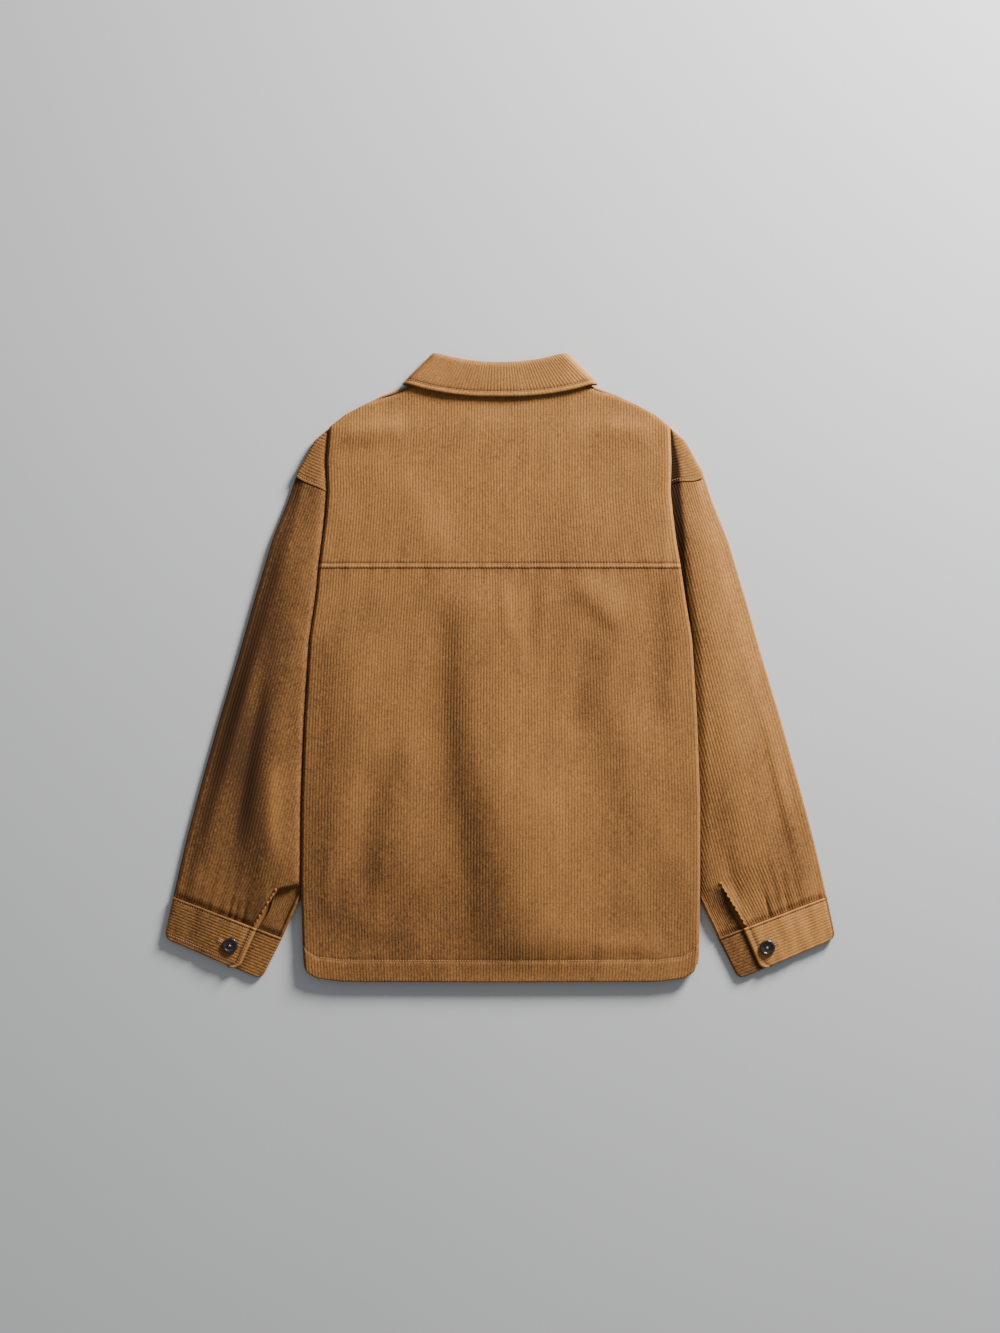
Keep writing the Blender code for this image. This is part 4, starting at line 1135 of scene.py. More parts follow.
@dataclass(frozen=True)
class SleeveLay:
    """How the sleeve of one side lies, with painted shade and light for its darker and paler parts.

    Folds and shades are placed by distance from the outer fold and by the run down the sleeve.
    The crease is painted shade beside the body: its width by height, its depth and its soft rim.
    The bank is cloth pushed up there. Beside and drop_beside are the distances in which the sleeve
    and the drop-shoulder piece reach full height outside the body, and sunk is the distance in
    which the slit's lower lip does so below its line.
    """

    folds: tuple[Fold, ...]
    shades: tuple[Fold, ...]
    crease: Line
    crease_depth: float
    crease_soft: float
    seam_rise: float
    bank: float
    beside: float
    drop_beside: float
    sunk: float
    slit_start: float
    slit_distances: Pair
    pleats: Line
    gather_shift: float
    slope_limits: Pair
    # painted light or shade over the whole sleeve, and over its drop-shoulder piece
    tone: float
    drop_painted_offset: float
    slit_shade: float
    lip_shade: float

    def seam_curve(self, reach: Array) -> Array:
        """How far the armhole seam curves up from the straight line, by distance from the outer fold."""
        return self.seam_rise * smooth(reach / 56.0) * smooth((150.0 - reach) / 90.0)

    def creased(self, outside: Array, y: Array) -> Array:
        """Painted shade in the crease beside the body, by distance outside it and height."""
        width = table(self.crease, y)
        return -self.crease_depth * bell(outside, width, 4) - self.crease_soft * bell(outside, 2.3 * width)

    def banked(self, outside: Array) -> Array:
        """Height of the cloth pushed up beside the body, by distance outside it."""
        return self.bank * bell(outside - 8.0, 22.0) * smooth(outside / 6.0 + 0.3)

    def crest(self, down: Array, reach: Array) -> Array:
        """Swell of the sleeve's upper layer, from its outer fold inwards.

        Args:
            down: share of the way from the armhole to the cuff.
            reach: distance from the outer fold.

        Returns:
            Height over the flat layer.
        """
        calm = np.interp(down, (0.0, 0.06, 0.2, 0.95, 1.0), (0.9, 0.9, 1.0, 1.0, 0.45))
        shelf = 3.2 * smooth(reach / (15.0 + 11.0 * smooth(down / 0.15))) * calm
        return shelf + sum_at(self.folds, reach, down * SLEEVE_RUN + 0 * reach) * calm

    def gathers(self, down: Array, reach: Array) -> Array:
        """Pleats and gathers above the cuff: uneven narrow ridges that grow towards the seam."""
        near = smooth((down - 0.80) / 0.17) * smooth((1.01 - down) / 0.03 + 0.35)
        at = reach + self.gather_shift
        wave = np.sin(at / 2.9) * np.sin(at / 11.0 + 0.4) + 0.5 * np.sin(at / 6.1 + 1.1) * np.sin(at / 19.0) \
            + 0.3 * np.sin(at / 1.9)
        total = 0.24 * wave * near
        for middle, depth in self.pleats:
            total = total - depth * bell(reach - middle, 1.9) * smooth((down - 0.93) / 0.04)
        return total


SLEEVE_RUN = 510.0
# Folds, and painted light and shade, of each sleeve; the left one lies further from the key light.
SLEEVE_LAYS = {
    Side.LEFT: SleeveLay(
        folds=(
            Fold(((22, 10), (44, 120), (62, 240), (80, 330), (108, 415), (113, 450), (106, 505)), 4.6,
                 (34, 36), (44, 30), 0.16, 1.6),
            Fold(((34, 200), (50, 330), (58, 430)), -1.8, (10, 12), (12, 12)),
            Fold(((20, 160), (26, 320), (34, 480)), 1.6, (12, 12), (14, 16)),
        ),
        shades=(
            Fold(((20, 90), (26, 200), (34, 290), (48, 360), (60, 430), (66, 490)), -0.15, (40, 60), (32, 30),
                 0.25, 1.3),
            Fold(((40, 250), (50, 330), (68, 420), (76, 480)), -0.12, (18, 22), (16, 14), 0.3),
            Fold(((76, 290), (96, 362), (114, 425)), 0.34, (7, 8), (12, 12), 0.3),
            Fold(((26, 220), (34, 300), (40, 380)), -0.14, (26, 26), (24, 24), 0.3),
            Fold(((84, 120), (90, 220), (104, 320)), -0.08, (20, 20), (24, 24), 0.3),
        ),
        crease=((-340.0, 3.0), (290.0, 3.0)), crease_depth=0.1, crease_soft=0.0, seam_rise=13.5, bank=2.8,
        beside=11.0, drop_beside=11.0, sunk=2.6, slit_start=0.882, slit_distances=(122.0, 103.0),
        pleats=((70.0, 0.7), (78.0, 1.0), (88.0, 0.8)), gather_shift=0.0, slope_limits=(-0.38, 0.0),
        tone=-0.20, drop_painted_offset=-0.12, slit_shade=0.0, lip_shade=0.0,
    ),
    Side.RIGHT: SleeveLay(
        folds=(
            Fold(((22, 10), (44, 120), (62, 240), (74, 360), (70, 440), (64, 505)), 5.2,
                 (36, 46), (40, 46), 0.16),
            Fold(((26, 250), (34, 370), (36, 470)), -2.0, (10, 10), (12, 14)),
            Fold(((12, 330), (14, 420), (16, 480)), -1.2, (7, 7), (7, 7)),
            Fold(((104, 400), (110, 440), (106, 480)), -1.0, (8, 8), (8, 8)),
        ),
        shades=(
            Fold(((40, 250), (42, 350), (40, 470)), -0.17, (14, 14), (12, 12), 0.3),
            Fold(((18, 340), (20, 430), (18, 500)), -0.18, (12, 12), (10, 12), 0.3),
            Fold(((54, 290), (56, 380), (50, 505)), -0.14, (15, 17), (15, 16), 0.3),
            Fold(((26, 380), (30, 440), (34, 512)), -0.26, (26, 32), (26, 28), 0.35),
            Fold(((96, 300), (106, 390), (112, 450)), -0.14, (16, 16), (16, 16), 0.3),
            Fold(((76, 200), (82, 290), (84, 360)), 0.05, (16, 16), (16, 16), 0.3),
            Fold(((60, 430), (58, 470), (56, 505)), -0.18, (3, 4), (4, 5), 0.3),
        ),
        crease=((-340.0, 3.0), (-20.0, 3.0), (70.0, 5.0), (122.0, 5.5), (158.0, 9.5), (200.0, 10.0),
                (232.0, 8.5), (265.0, 3.5), (290.0, 2.0)),
        crease_depth=1.3, crease_soft=0.26, seam_rise=24.0, bank=0.0, beside=18.0, drop_beside=15.0,
        sunk=40.0, slit_start=0.862, slit_distances=(124.0, 103.0), pleats=((73.0, 1.6), (50.0, 0.4)),
        gather_shift=9.0, slope_limits=(-0.07, 0.04), tone=0.10, drop_painted_offset=0.12, slit_shade=0.6,
        lip_shade=0.16,
    ),
}


@dataclass
class Sleeves:
    """Sleeves and drop-shoulder pieces, laid out for the wearer's left and mirrored."""

    form: BodyForm
    finishes: Finishes
    outer: Line = (
        (228.6, -245.4), (201.0, -254.4), (153.0, -273.6), (81.0, -295.2), (9.0, -315.6), (-63.0, -337.2),
        (-135.0, -357.6), (-207.0, -376.8), (-260.0, -389.0), (-275.0, -392.4),
    )
    flat_top: float = 4.4
    roll: float = 3.4
    top_wales: int = 32
    side_wales: int = 10
    under_wales: int = 46
    roll_wales: int = 2
    drop_wales: int = 19
    drop_width: float = 66.0
    drop_stitch: float = 4.5
    drop_outer: Line = ((288.5, -203.5), (273.0, -222.0), (261.0, -229.2), (249.0, -235.2), (237.0, -242.4),
                        (229.4, -245.2))
    drop_inner: Line = ((-184.0, 283.0), (-196.0, 187.7))
    sunk_line: Line = ((-265.2, -264.6), (-240.0, -259.8))

    def edges(self, outer_line: Line, inner_line: Line, down: Array) -> tuple[Array, ...]:
        """Two edges of a piece at shares of the way down: a table of y and x, and a straight line.

        Args:
            outer_line: rows of y and x along the outer fold.
            inner_line: the two ends of the inner edge.
            down: shares of the way down.

        Returns:
            Places on the outer fold, directions inwards from it, and widths.
        """
        outer_y = outer_line[0][0] + down * (outer_line[-1][0] - outer_line[0][0])
        outer = np.stack([table(outer_line, outer_y), outer_y], axis=-1)
        start, end = np.array(inner_line[0]), np.array(inner_line[1])
        inner = start + down[..., None] * (end - start)
        width = np.linalg.norm(inner - outer, axis=-1)
        return outer, (inner - outer) / width[..., None], width

    def section(self, down: Array, width: Array, upper: Array, lower: Array
                ) -> tuple[Array, Array]:
        """Section of the tube, from the slit's lower lip round underneath to its upper lip.

        Args:
            down: share of the way from the armhole to the cuff.
            width: width of the flattened tube.
            upper: distance of the upper lip from the outer fold.
            lower: distance of the lower lip.

        Returns:
            Distance from the outer fold, and level: 0 underneath, 1 on top.
        """
        roll = self.roll
        counts = (self.side_wales, self.roll_wales, self.under_wales, self.top_wales)
        side_share, turn_share, under_share, top_share = (WALES.stations(count) / count for count in counts)
        turn = np.pi * turn_share[None, :] + 0 * down
        parts = [
            (lower + side_share * (width - roll - lower), 1.0),
            (width - roll + roll * np.sin(turn), 0.5 + 0.5 * np.cos(turn)),
            (width - roll - under_share * (width - 2 * roll), 0.0),
            (roll - roll * np.sin(turn), 0.5 - 0.5 * np.cos(turn)),
            (roll + top_share * (upper - roll), 1.0),
        ]
        ends = [-1, -1, -1, -1, None]
        reach = np.concatenate([part[:, :end] for (part, _), end in zip(parts, ends)], axis=1)
        level = np.concatenate([(rise + 0 * part)[:, :end] for (part, rise), end in zip(parts, ends)], axis=1)
        return reach, level

    def sleeve(self, side: Side) -> None:
        """A sleeve: a flattened tube that is open along the slit above the cuff."""
        form, lay = self.form, SLEEVE_LAYS[side]
        down = rows_between(0.0, 1.0, 0.0175, (0.003, 0.008, 0.84, 0.85, *np.arange(0.858, 0.91, 0.004), 0.91,
                                              0.92, 0.93, 0.94, 0.95, 0.96, 0.97, 0.98, 0.986, 0.992, 0.996))
        down = down[:, None]
        outer, across, width = self.edges(self.outer, form.sleeve_inner, down)
        opening = down >= lay.slit_start
        slit = np.interp(down, (lay.slit_start, 1.0), lay.slit_distances)
        gap = 6.5 * smooth((down - lay.slit_start) / 0.08)
        reach, level = self.section(down, width, slit, slit + gap)
        wales = WALES.stations(self.side_wales + 2 * self.roll_wales + self.under_wales + self.top_wales)

        flat = outer + across * reach[..., None]
        x, y = flat[..., 0], flat[..., 1]
        y = y + lay.seam_curve(reach) * (1.0 - smooth(down / 0.28)) * (level > 0.5)
        outside = form.left(y) - x
        beside = smooth((outside + 4.0) / lay.beside)
        side_part = np.arange(reach.shape[1])[None, :] < self.side_wales * len(WALES.places)
        swell = lay.crest(down, reach) + lay.gathers(down, reach)
        swell = swell + lay.banked(outside) * smooth((0.88 - down) / 0.08)
        lip = 1.3 * opening * bell(slit - reach, 9.0) * smooth((down - lay.slit_start) / 0.05)
        (line_x, line_y), (end_x, end_y) = self.sunk_line
        below = line_y + (x - line_x) * (end_y - line_y) / (end_x - line_x) - y
        sunk = smooth(below / lay.sunk + 0.1) * side_part * smooth((reach - slit - 0.5) / 2.0)
        top = np.where(sunk > 0, swell * (1 - sunk) + 0.6 * sunk, swell + lip) * beside
        top = self.flat_top + WALES.height + top
        z = WALES.height + level * (np.maximum(top, self.flat_top + 0.4) - WALES.height)
        tuck = 1.2 * smooth((down - 0.985) / 0.012)
        z = np.where(level > 0.5, z - tuck * (z > 5.0), z)
        points = mirror(np.stack([x, y, z], axis=-1), side)
        welded = int(np.sum(~opening)) + 1
        points[:welded, 0] = points[:welded, -1] = 0.5 * (points[:welded, 0] + points[:welded, -1])

        # Painted light and shade: from the slope and the bands, painted shade on the slit's sunk lip, in its
        # hollow, in the crease beside the body and in the gathers above the cuff, and a painted level for the
        # whole sleeve.
        slope = np.clip(slope_shade(points), *lay.slope_limits)
        nap = slope * level + sum_at(lay.shades, reach, SLEEVE_RUN * down + 0 * reach) - 0.06 * sunk
        hollow = bell(reach - slit, 14.0) * smooth((down - lay.slit_start) / 0.03)
        shaded = smooth((down - 0.77) / 0.1) * smooth((reach - slit) / 14.0)
        nap = nap - side_part * (lay.slit_shade * opening * hollow + lay.lip_shade * shaded)
        nap = nap + lay.creased(outside, y) * (level > 0.5)
        nap = nap - 0.25 * smooth((down - 0.982) / 0.014) + lay.tone
        face = Face(points, wales, outward=side.value, nap=nap, welded_rows=welded)
        tube = self.finishes.piece(f"sleeve_{side.word}_cloth", f"sleeve_{side.word}", face)
        binding = self.slit_edge(side, face.line(column=-1, lift=0.7)[welded - 1:])

    def slit_edge(self, side: Side, line: Array) -> bpy.types.Object:
        """Puckered narrow edge of the slit: a small tube whose girth swells at each stitch.

        The tube is a circle carried along the edge; its radius and place waver with the sine of
        the distance run.

        Args:
            side: which sleeve.
            line: points along the slit's upper edge.

        Returns:
            The object.
        """
        sides = 12
        travel = travelled(line)
        run = np.linspace(0.0, travel[-1] - 1.0, 130)
        centre = points_at(line, travel, run)
        wave = np.sin(2 * np.pi * run / 6.3) + 0.7 * np.sin(2 * np.pi * run / 9.7 + 0.6)
        _ahead, aside, up = axes_of(np.gradient(centre, axis=0))
        centre = centre + 0.45 * wave[:, None] * aside + 0.2 * np.roll(wave, 3)[:, None] * up
        angle = np.linspace(0.0, 2 * np.pi, sides + 1)[:-1]
        ends = smooth(np.minimum(run, run[-1] - run) / 3.0 + 0.15)
        radius = (1.15 + 0.12 * wave) * ends
        cosine, sine = np.cos(angle)[None, :, None], 0.8 * np.sin(angle)[None, :, None]
        ring = cosine * aside[:, None, :] + sine * up[:, None, :]
        points = (centre[:, None, :] + radius[:, None, None] * ring).reshape(-1, 3)
        index = np.arange(len(points)).reshape(-1, sides)
        quads = grid_quads(np.concatenate([index, index[:, :1]], axis=1))
        name = f"slit_edge_{side.word}"
        mesh = add_mesh(name, points * MM, quads.tolist() + [index[0].tolist(), index[-1][::-1].tolist()])
        corners = np.array([loop.vertex_index for loop in mesh.loops])
        uv = np.stack([run[corners // sides] / WALES.pitch, (corners % sides) * 0.15], axis=-1)
        mesh.uv_layers.new(name="wales").data.foreach_set("uv", uv.ravel())
        # Painted light: the slit's edge is made paler all along.
        add_values(mesh, nap=np.full(len(points), 0.14), inner=np.zeros(len(points)))
        mesh.shade_smooth()
        return place(name, mesh, self.finishes.cloth, Slot.CORDUROY)

    def drop(self, side: Side) -> None:
        """Drop-shoulder piece: two layers folded over the outer edge, wales across the arm."""
        form, lay, roll = self.form, SLEEVE_LAYS[side], self.roll
        wales = WALES.stations(self.drop_wales)
        down = (wales / wales[-1])[None, :]
        outer, across, width = self.edges(self.drop_outer, self.drop_inner, down)
        flat = np.linspace(1.0, 0.0, 12)[:, None]
        turn = np.linspace(0.0, np.pi, 9)[1:-1, None]
        reach = np.concatenate([roll + flat * (width - roll), roll - roll * np.sin(turn) + 0 * width,
                                roll + flat[::-1] * (width - roll)])
        level = np.concatenate([0 * flat, 0.5 - 0.5 * np.cos(turn), 1 + 0 * flat]) + 0 * width
        place_of = outer + across * reach[..., None]
        x, y = place_of[..., 0], place_of[..., 1]
        y = y + lay.seam_curve(reach) * down * (level > 0.5)
        outside = form.left(y) - x
        beside = smooth((outside + 4.0) / lay.drop_beside)
        seam = (1.0 - down) * self.drop_width
        stitched = bell(seam - self.drop_stitch, 1.2)
        swell = (3.4 * beside + lay.banked(outside)) * (0.5 + 0.5 * down)
        swell = swell + 0.1 * np.exp(-seam / 3.0) - 0.35 * stitched * beside
        z = WALES.height + level * (self.flat_top + swell)
        points = mirror(np.stack([x, y, z], axis=-1), side)
        # Painted shade in the crease beside the body and in the stitch groove, with a painted level for the
        # piece.
        nap = lay.creased(outside, y) * (level > 0.5) + lay.drop_painted_offset - 0.14 * stitched
        face = Face(points, wales, outward=-side.value, nap=nap)
        patch = self.finishes.piece(f"drop_{side.word}_cloth", f"shoulder_drop_{side.word}", face)
        line = face.line(column=nearest(seam[0], self.drop_stitch), lift=0.5)[12:]
        thread = sew(f"armhole_stitches_{side.word}", [line], self.finishes.thread)

    def build(self) -> None:
        """Both sleeves and drop-shoulder pieces."""
        for side in Side:
            self.drop(side)
            self.sleeve(side)


@dataclass(frozen=True)
class CuffLay:
    """Rim of one cuff's lap, and painted light and shade.

    The first offset is the whole cuff's painted change of lightness and the under offset that of all but the
    lap. Along the lap the painted light changes by its own amount, from the share lap_start on and over the
    share lap_span.
    """

    rim: float
    tone: float
    under_painted_offset: float
    lap_painted_change: float
    lap_start: float
    lap_span: float


# Painted light and shade of each cuff; the left one lies further from the key light.
CUFF_LAYS = {
    Side.LEFT: CuffLay(rim=1.0, tone=-0.26, under_painted_offset=0.16, lap_painted_change=0.32, lap_start=0.45, lap_span=0.3),
    Side.RIGHT: CuffLay(rim=0.45, tone=0.36, under_painted_offset=-0.70, lap_painted_change=0.2, lap_start=0.4, lap_span=-0.3),
}


@dataclass
class Cuffs:
    """Buttoned cuffs: a band wound once round, its lapped end uppermost.

    Places along the band are shares of its width, from the outer fold to the inner one.
    """

    finishes: Finishes
    top_outer: Pair = (-392.4, -275.4)
    top_inner: Pair = (-262.0, -325.0)
    bottom_outer: Pair = (-403.0, -325.0)
    bottom_inner: Pair = (-287.0, -374.5)
    width: float = 132.0
    depth: float = 52.0
    wales: int = 15
    underlap_end: float = 0.50
    lap_end: float = 0.77
    underlap_top: float = 5.6
    lap_top: float = 8.6
    outer_top: float = 7.4
    roll: float = 3.2
    lap_corner: float = 9.0
    fold_corner: float = 8.0
    lap_steps: tuple[float, ...] = (0.905, 0.92, 0.934, 0.948, 0.962, 0.975, 0.986, 0.994, 1.0)

    def cut_in(self, down: Array, radius: float) -> Array:
        """How far a rounded lower corner cuts in, as a share of the width: a quarter circle."""
        near = np.clip((down * self.depth - (self.depth - radius)) / radius, 0.0, 1.0)
        return (radius / self.width) * (1.0 - np.sqrt(1.0 - near**2))

    def lap_height(self, side: Side, lap: Array, from_end: Array, down: Array) -> Array:
        """Height of the lap: a step over the underlap, a rim and a groove at its end, and waves.

        Args:
            side: which cuff.
            lap: places along the band.
            from_end: distance from the lap's end.
            down: share of the way down the cuff.

        Returns:
            The heights.
        """
        rim = CUFF_LAYS[side].rim
        height = self.outer_top + (self.lap_top - self.outer_top) * smooth((lap - 0.36) / 0.12)
        height = height + 1.2 * rim * bell(from_end - 2.4, 2.2)
        height = height - 1.4 * rim * bell(from_end - 7.2, 1.8)
        height = height - 1.4 * smooth((0.9 - from_end) / 0.9)
        return height + 0.5 * np.sin(lap * 21.0) * np.sin(down * 3.0 + 0.6) + 0.25 * np.sin(lap * 47.0 + 1.0)

    def band(self, side: Side) -> tuple[Face, int]:
        """Outer face of a cuff, its wales running round the wrist.

        The section is a flattened ring: underlap, turn at the inner fold, lower layer, turn at the
        outer fold, and lap. Rows follow the band, columns go down from its upper edge.

        Args:
            side: which cuff.

        Returns:
            The face, and the number of the lap's first row.
        """
        lay = CUFF_LAYS[side]
        wales = WALES.stations(self.wales)
        down = (wales / wales[-1])[None, :]
        edge = self.roll / self.width
        turn = np.linspace(-0.5 * np.pi, 0.5 * np.pi, 9)[1:-1, None]
        underlap = np.linspace(self.underlap_end, 1.0 - edge, 20)[:, None]
        under = np.linspace(1.0 - edge, edge, 22)[:, None]
        lap_end = self.lap_end - self.cut_in(down, self.lap_corner)
        steps = np.append(np.linspace(0.0, 0.88, 26), self.lap_steps)
        lap = edge + steps[:, None] * (lap_end - edge)
        turned = edge * (1.0 - np.cos(turn))
        share = np.concatenate([np.concatenate([underlap, 1.0 - turned, under, turned]) + 0 * down, lap])
        from_end = (lap_end - lap) * self.width
        base = WALES.height
        height = np.concatenate([self.underlap_top + 0.3 * np.sin(underlap * 30.0),
                                 base + (self.underlap_top - base) * (0.5 - 0.5 * np.sin(turn)),
                                 base + 0 * under,
                                 base + (self.outer_top - base) * (0.5 + 0.5 * np.sin(turn))])
        height = np.concatenate([height + 0 * down, self.lap_height(side, lap, from_end, down)])
        from_top, from_bottom = down * self.depth, (1.0 - down) * self.depth
        rims = -0.7 * smooth((0.8 - from_bottom) / 0.8) - 0.5 * smooth((0.8 - from_top) / 0.8) \
            + 0.45 * bell(from_top - 1.3, 1.2) - 0.5 * bell(from_top - 4.0, 1.2)
        height = height + (height > base + 1.5) * rims
        inset = self.cut_in(down, self.fold_corner)
        share = share + inset * (smooth((0.12 - share) / 0.12) - smooth((share - 0.88) / 0.12))
        top = between(np.array(self.top_outer), np.array(self.top_inner), share[..., None])
        bottom = between(np.array(self.bottom_outer), np.array(self.bottom_inner), share[..., None])
        flat = between(top, bottom, down[..., None])
        points = mirror(np.concatenate([flat, height[..., None]], axis=-1), side)

        first = len(share) - len(steps)
        is_lap = np.arange(len(share))[:, None] >= first
        # Painted highlight on the lap's rim and painted shade in its groove, the same on the upper bead and
        # groove, a painted level for the cuff and its underlap, and painted shade on the underlap beside the
        # lap's end.
        nap = np.zeros(height.shape)
        nap[first:] = (0.22 * bell(from_end - 2.0, 1.9) - 0.46 * bell(from_end - 7.0, 1.7)) * lay.rim
        nap = nap + 0.05 * bell(from_top - 1.0, 1.1) - 0.12 * bell(from_top - 4.0, 1.2)
        nap = nap + lay.tone + lay.lap_painted_change * smooth((share - lay.lap_start) / lay.lap_span) * is_lap
        nap[:first] += lay.under_painted_offset
        nap[: len(underlap)] -= 0.25 * (1.0 - smooth((share[: len(underlap)] - lap_end) * self.width / 9.0))
        ribs = np.ones(height.shape)
        ribs[first:] = 0.35 + 0.65 * smooth((from_end - 3.0) / 4.0)
        return Face(points, wales, outward=-side.value, nap=nap, rib_share=ribs), first

    def cuff(self, side: Side) -> None:
        """A cuff with its stitches, two rows along its edges and one across the lap's end."""
        face, first = self.band(side)
        band = self.finishes.piece(f"cuff_{side.word}_cloth", f"cuff_{side.word}", face, THICK_WALL)
        columns = [nearest(face.wales, at) for at in (1.12, 13.12)]
        lines = [face.line(column=column, lift=0.5)[first:-7] for column in columns]
        lines.append(face.line(row=-6, lift=0.3)[6:-9])
        thread = sew(f"cuff_{side.word}_stitches", lines, self.finishes.thread)

    def build(self) -> None:
        """Both cuffs."""
        for side in Side:
            self.cuff(side)


@dataclass
class Collar:
    """Collar: stand, and a fall that turns over it along the fold line."""

    form: BodyForm
    finishes: Finishes
    corner: Pair = (-80.4, 377.4)
    top_edge: Line = ((-40.0, 369.4), (-6.0, 366.6))
    free_edge: Line = ((-60.0, 328.0), (-6.0, 324.6))
    inward_upper: Pair = (1.26, -0.14)
    inward_lower: Pair = (1.22, -0.18)
    level: float = 14.0
    roll: float = 6.6
    fold_radius: float = 5.5
    front_bottom: float = 2.85
    stand_top: float = 9.4
    fall_wales: int = 124
    stand_wales: int = 96
    stations: tuple[float, ...] = (
        0.0, 0.008, 0.025, 0.05, 0.09, 0.15, 0.23, 0.32, 0.42, 0.52, 0.62, 0.7, 0.76, 0.81,
        0.835, 0.86, 0.885, 0.91, 0.94, 0.965, 0.985, 1.0,
    )
    stitch_station: float = 0.86
    # Patches of painted light on the collar.
    patches: tuple[PaintedPatch, ...] = (
        PaintedPatch((92.0, 352.0), (24.0, 26.0), 0.20), PaintedPatch((-88.0, 356.0), (30.0, 16.0), 0.08),
        PaintedPatch((0.0, 352.0), (22.0, 10.0), 0.10), PaintedPatch((-40.0, 340.0), (30.0, 12.0), -0.06),
    )
    stand_inset: float = 5.8

    def spread(self, upper: Array, lower: Array, stations: Array) -> Array:
        """Places at shares of the way from one place to another, (stations, 2)."""
        return upper[None, :] + stations[:, None] * (lower - upper)[None, :]

    def section(self, upper: Array, lower: Array, outer_level: float, edge_level: float,
                bead: float) -> Array:
        """One section of the fall from the fold line to the free edge.

        Near the fold it is a quarter circle from the edge level to the outer level. At the free
        edge a groove and a rounded bead are added.

        Args:
            upper: place on the fold line.
            lower: place on the free edge.
            outer_level: height of the outer face.
            edge_level: height at the fold line.
            bead: strength of the groove and bead, 0 to 1.

        Returns:
            Points, (stations, 3).
        """
        stations = np.array(self.stations)
        width = float(np.linalg.norm(lower - upper))
        reach = np.clip(stations * width / self.fold_radius, 0.0, 1.0)
        height = edge_level + (outer_level - edge_level) * np.sqrt(1.0 - (1.0 - reach) ** 2)
        from_edge = (1.0 - stations) * width
        groove = -0.75 * bell(from_edge - 6.4, 1.5) + 0.4 * bell(from_edge - 2.8, 2.2)
        height = height + bead * (groove - 0.9 * smooth((1.0 - from_edge) / 1.0))
        return np.concatenate([self.spread(upper, lower, stations), height[:, None]], axis=1)

    def curve(self, points: tuple, share: float) -> Array:
        """Point of the quadratic curve through three points."""
        start, middle, end = (np.array(point, dtype=float) for point in points)
        control = 2.0 * middle - 0.5 * (start + end)
        return (1 - share) ** 2 * start + 2 * share * (1 - share) * control + share**2 * end

    def ring(self, sections: list[Array], wales: int) -> tuple[Array, Array]:
        """Whole ring from the sections of its left half, resampled to the wales.

        Args:
            sections: sections, each (stations, 3), from the front middle to the back middle.
            wales: number of wales round the ring.

        Returns:
            Points (stations, columns, 3), and the wale coordinate of the columns.
        """
        left = np.array(sections)
        whole = np.concatenate([left, mirror(left[::-1], Side.RIGHT)])
        stations = whole.shape[1]
        travel = travelled(whole[:, stations // 2])
        places = WALES.stations(wales)
        made = points_at(whole.reshape(len(whole), -1), travel, places / wales * travel[-1])
        return made.reshape(len(places), stations, 3).transpose(1, 0, 2), places

    def fall(self) -> None:
        """The part that shows, with its front leaves underneath."""
        stations = np.array(self.stations)
        leaf_neck, leaf_point, tip = (np.array(place_of) for place_of in self.form.leaf)
        corner = np.array(self.corner)
        front_edge, back_edge = self.front_bottom + 0.5 * THICK_WALL, self.stand_top - 0.5 * THICK_WALL
        upper_turn = self.roll * np.array(self.inward_upper)
        lower_turn = self.roll * np.array(self.inward_lower)
        base = WALES.height
        inner_corner, inner_tip = corner + upper_turn, tip + lower_turn
        sections = []
        for share in np.linspace(0.0, 0.9, 7):
            upper, lower = between(leaf_neck, inner_corner, share), between(leaf_point, inner_tip, share)
            sections.append(self.section(upper, lower, base, front_edge, 0.0))
        for angle in np.radians(np.linspace(-90.0, 90.0, 13)):
            turned, shift = 0.5 + 0.5 * math.sin(angle), 1.0 - math.cos(angle)
            sections.append(self.section(corner + upper_turn * shift, tip + lower_turn * shift,
                                         base + (self.level - base) * turned,
                                         front_edge + (back_edge - front_edge) * turned, turned))
        for share in np.linspace(0.08, 1.0, 14):
            upper = self.curve((inner_corner, *self.top_edge), share)
            lower = self.curve((inner_tip, *self.free_edge), share)
            sections.append(self.section(upper, lower, self.level, back_edge, 1.0))
        points, wales = self.ring(sections, self.fall_wales)
        top = points[..., 2] > 7.0
        ripple = 0.35 * np.sin(points[..., 0] / 13.0 + 0.5) * stations[:, None] ** 2
        points[..., 2] += ripple * top
        from_edge = (1.0 - stations[:, None]) * 44.0 + 0 * points[..., 0]
        stitched = 0.12 * bell(from_edge - 2.8, 2.0) - 0.12 * bell(from_edge - 6.4, 1.3)
        # Painted light and shade: from the slope of the face, a painted highlight on the edge's bead, painted
        # shade in its stitch groove, and the patches.
        nap = slope_shade(points, 0.5) * top + 0.05 + top * stitched
        nap = nap + sum_at(self.patches, points[..., 0], points[..., 1]) * top
        ribs = 1.0 - 0.75 * smooth((9.0 - from_edge) / 4.0) * top
        face = Face(points, wales, outward=-1, nap=nap, rib_share=ribs)
        fall = self.finishes.piece("collar_cloth", "collar_fall", face, THICK_WALL)
        row = nearest(stations, self.stitch_station)
        thread = sew("collar_stitches", [face.line(row=row, lift=0.5)], self.finishes.thread)

    def stand(self) -> None:
        """The stand inside the fall, from the neck seam up to the fold line."""
        form = self.form
        stations = np.linspace(0.0, 1.0, 7)
        fold_start = np.array(form.leaf[0])
        fold_end = np.array(self.corner) + np.array((0.73, -0.68)) * 6.0
        run = (fold_end - fold_start) / np.linalg.norm(fold_end - fold_start)
        inwards = np.array([-run[1], run[0]]) * self.stand_inset
        low, high = self.front_bottom + 0.3, self.stand_top - 1.0
        half = 0.5 * (high - low)

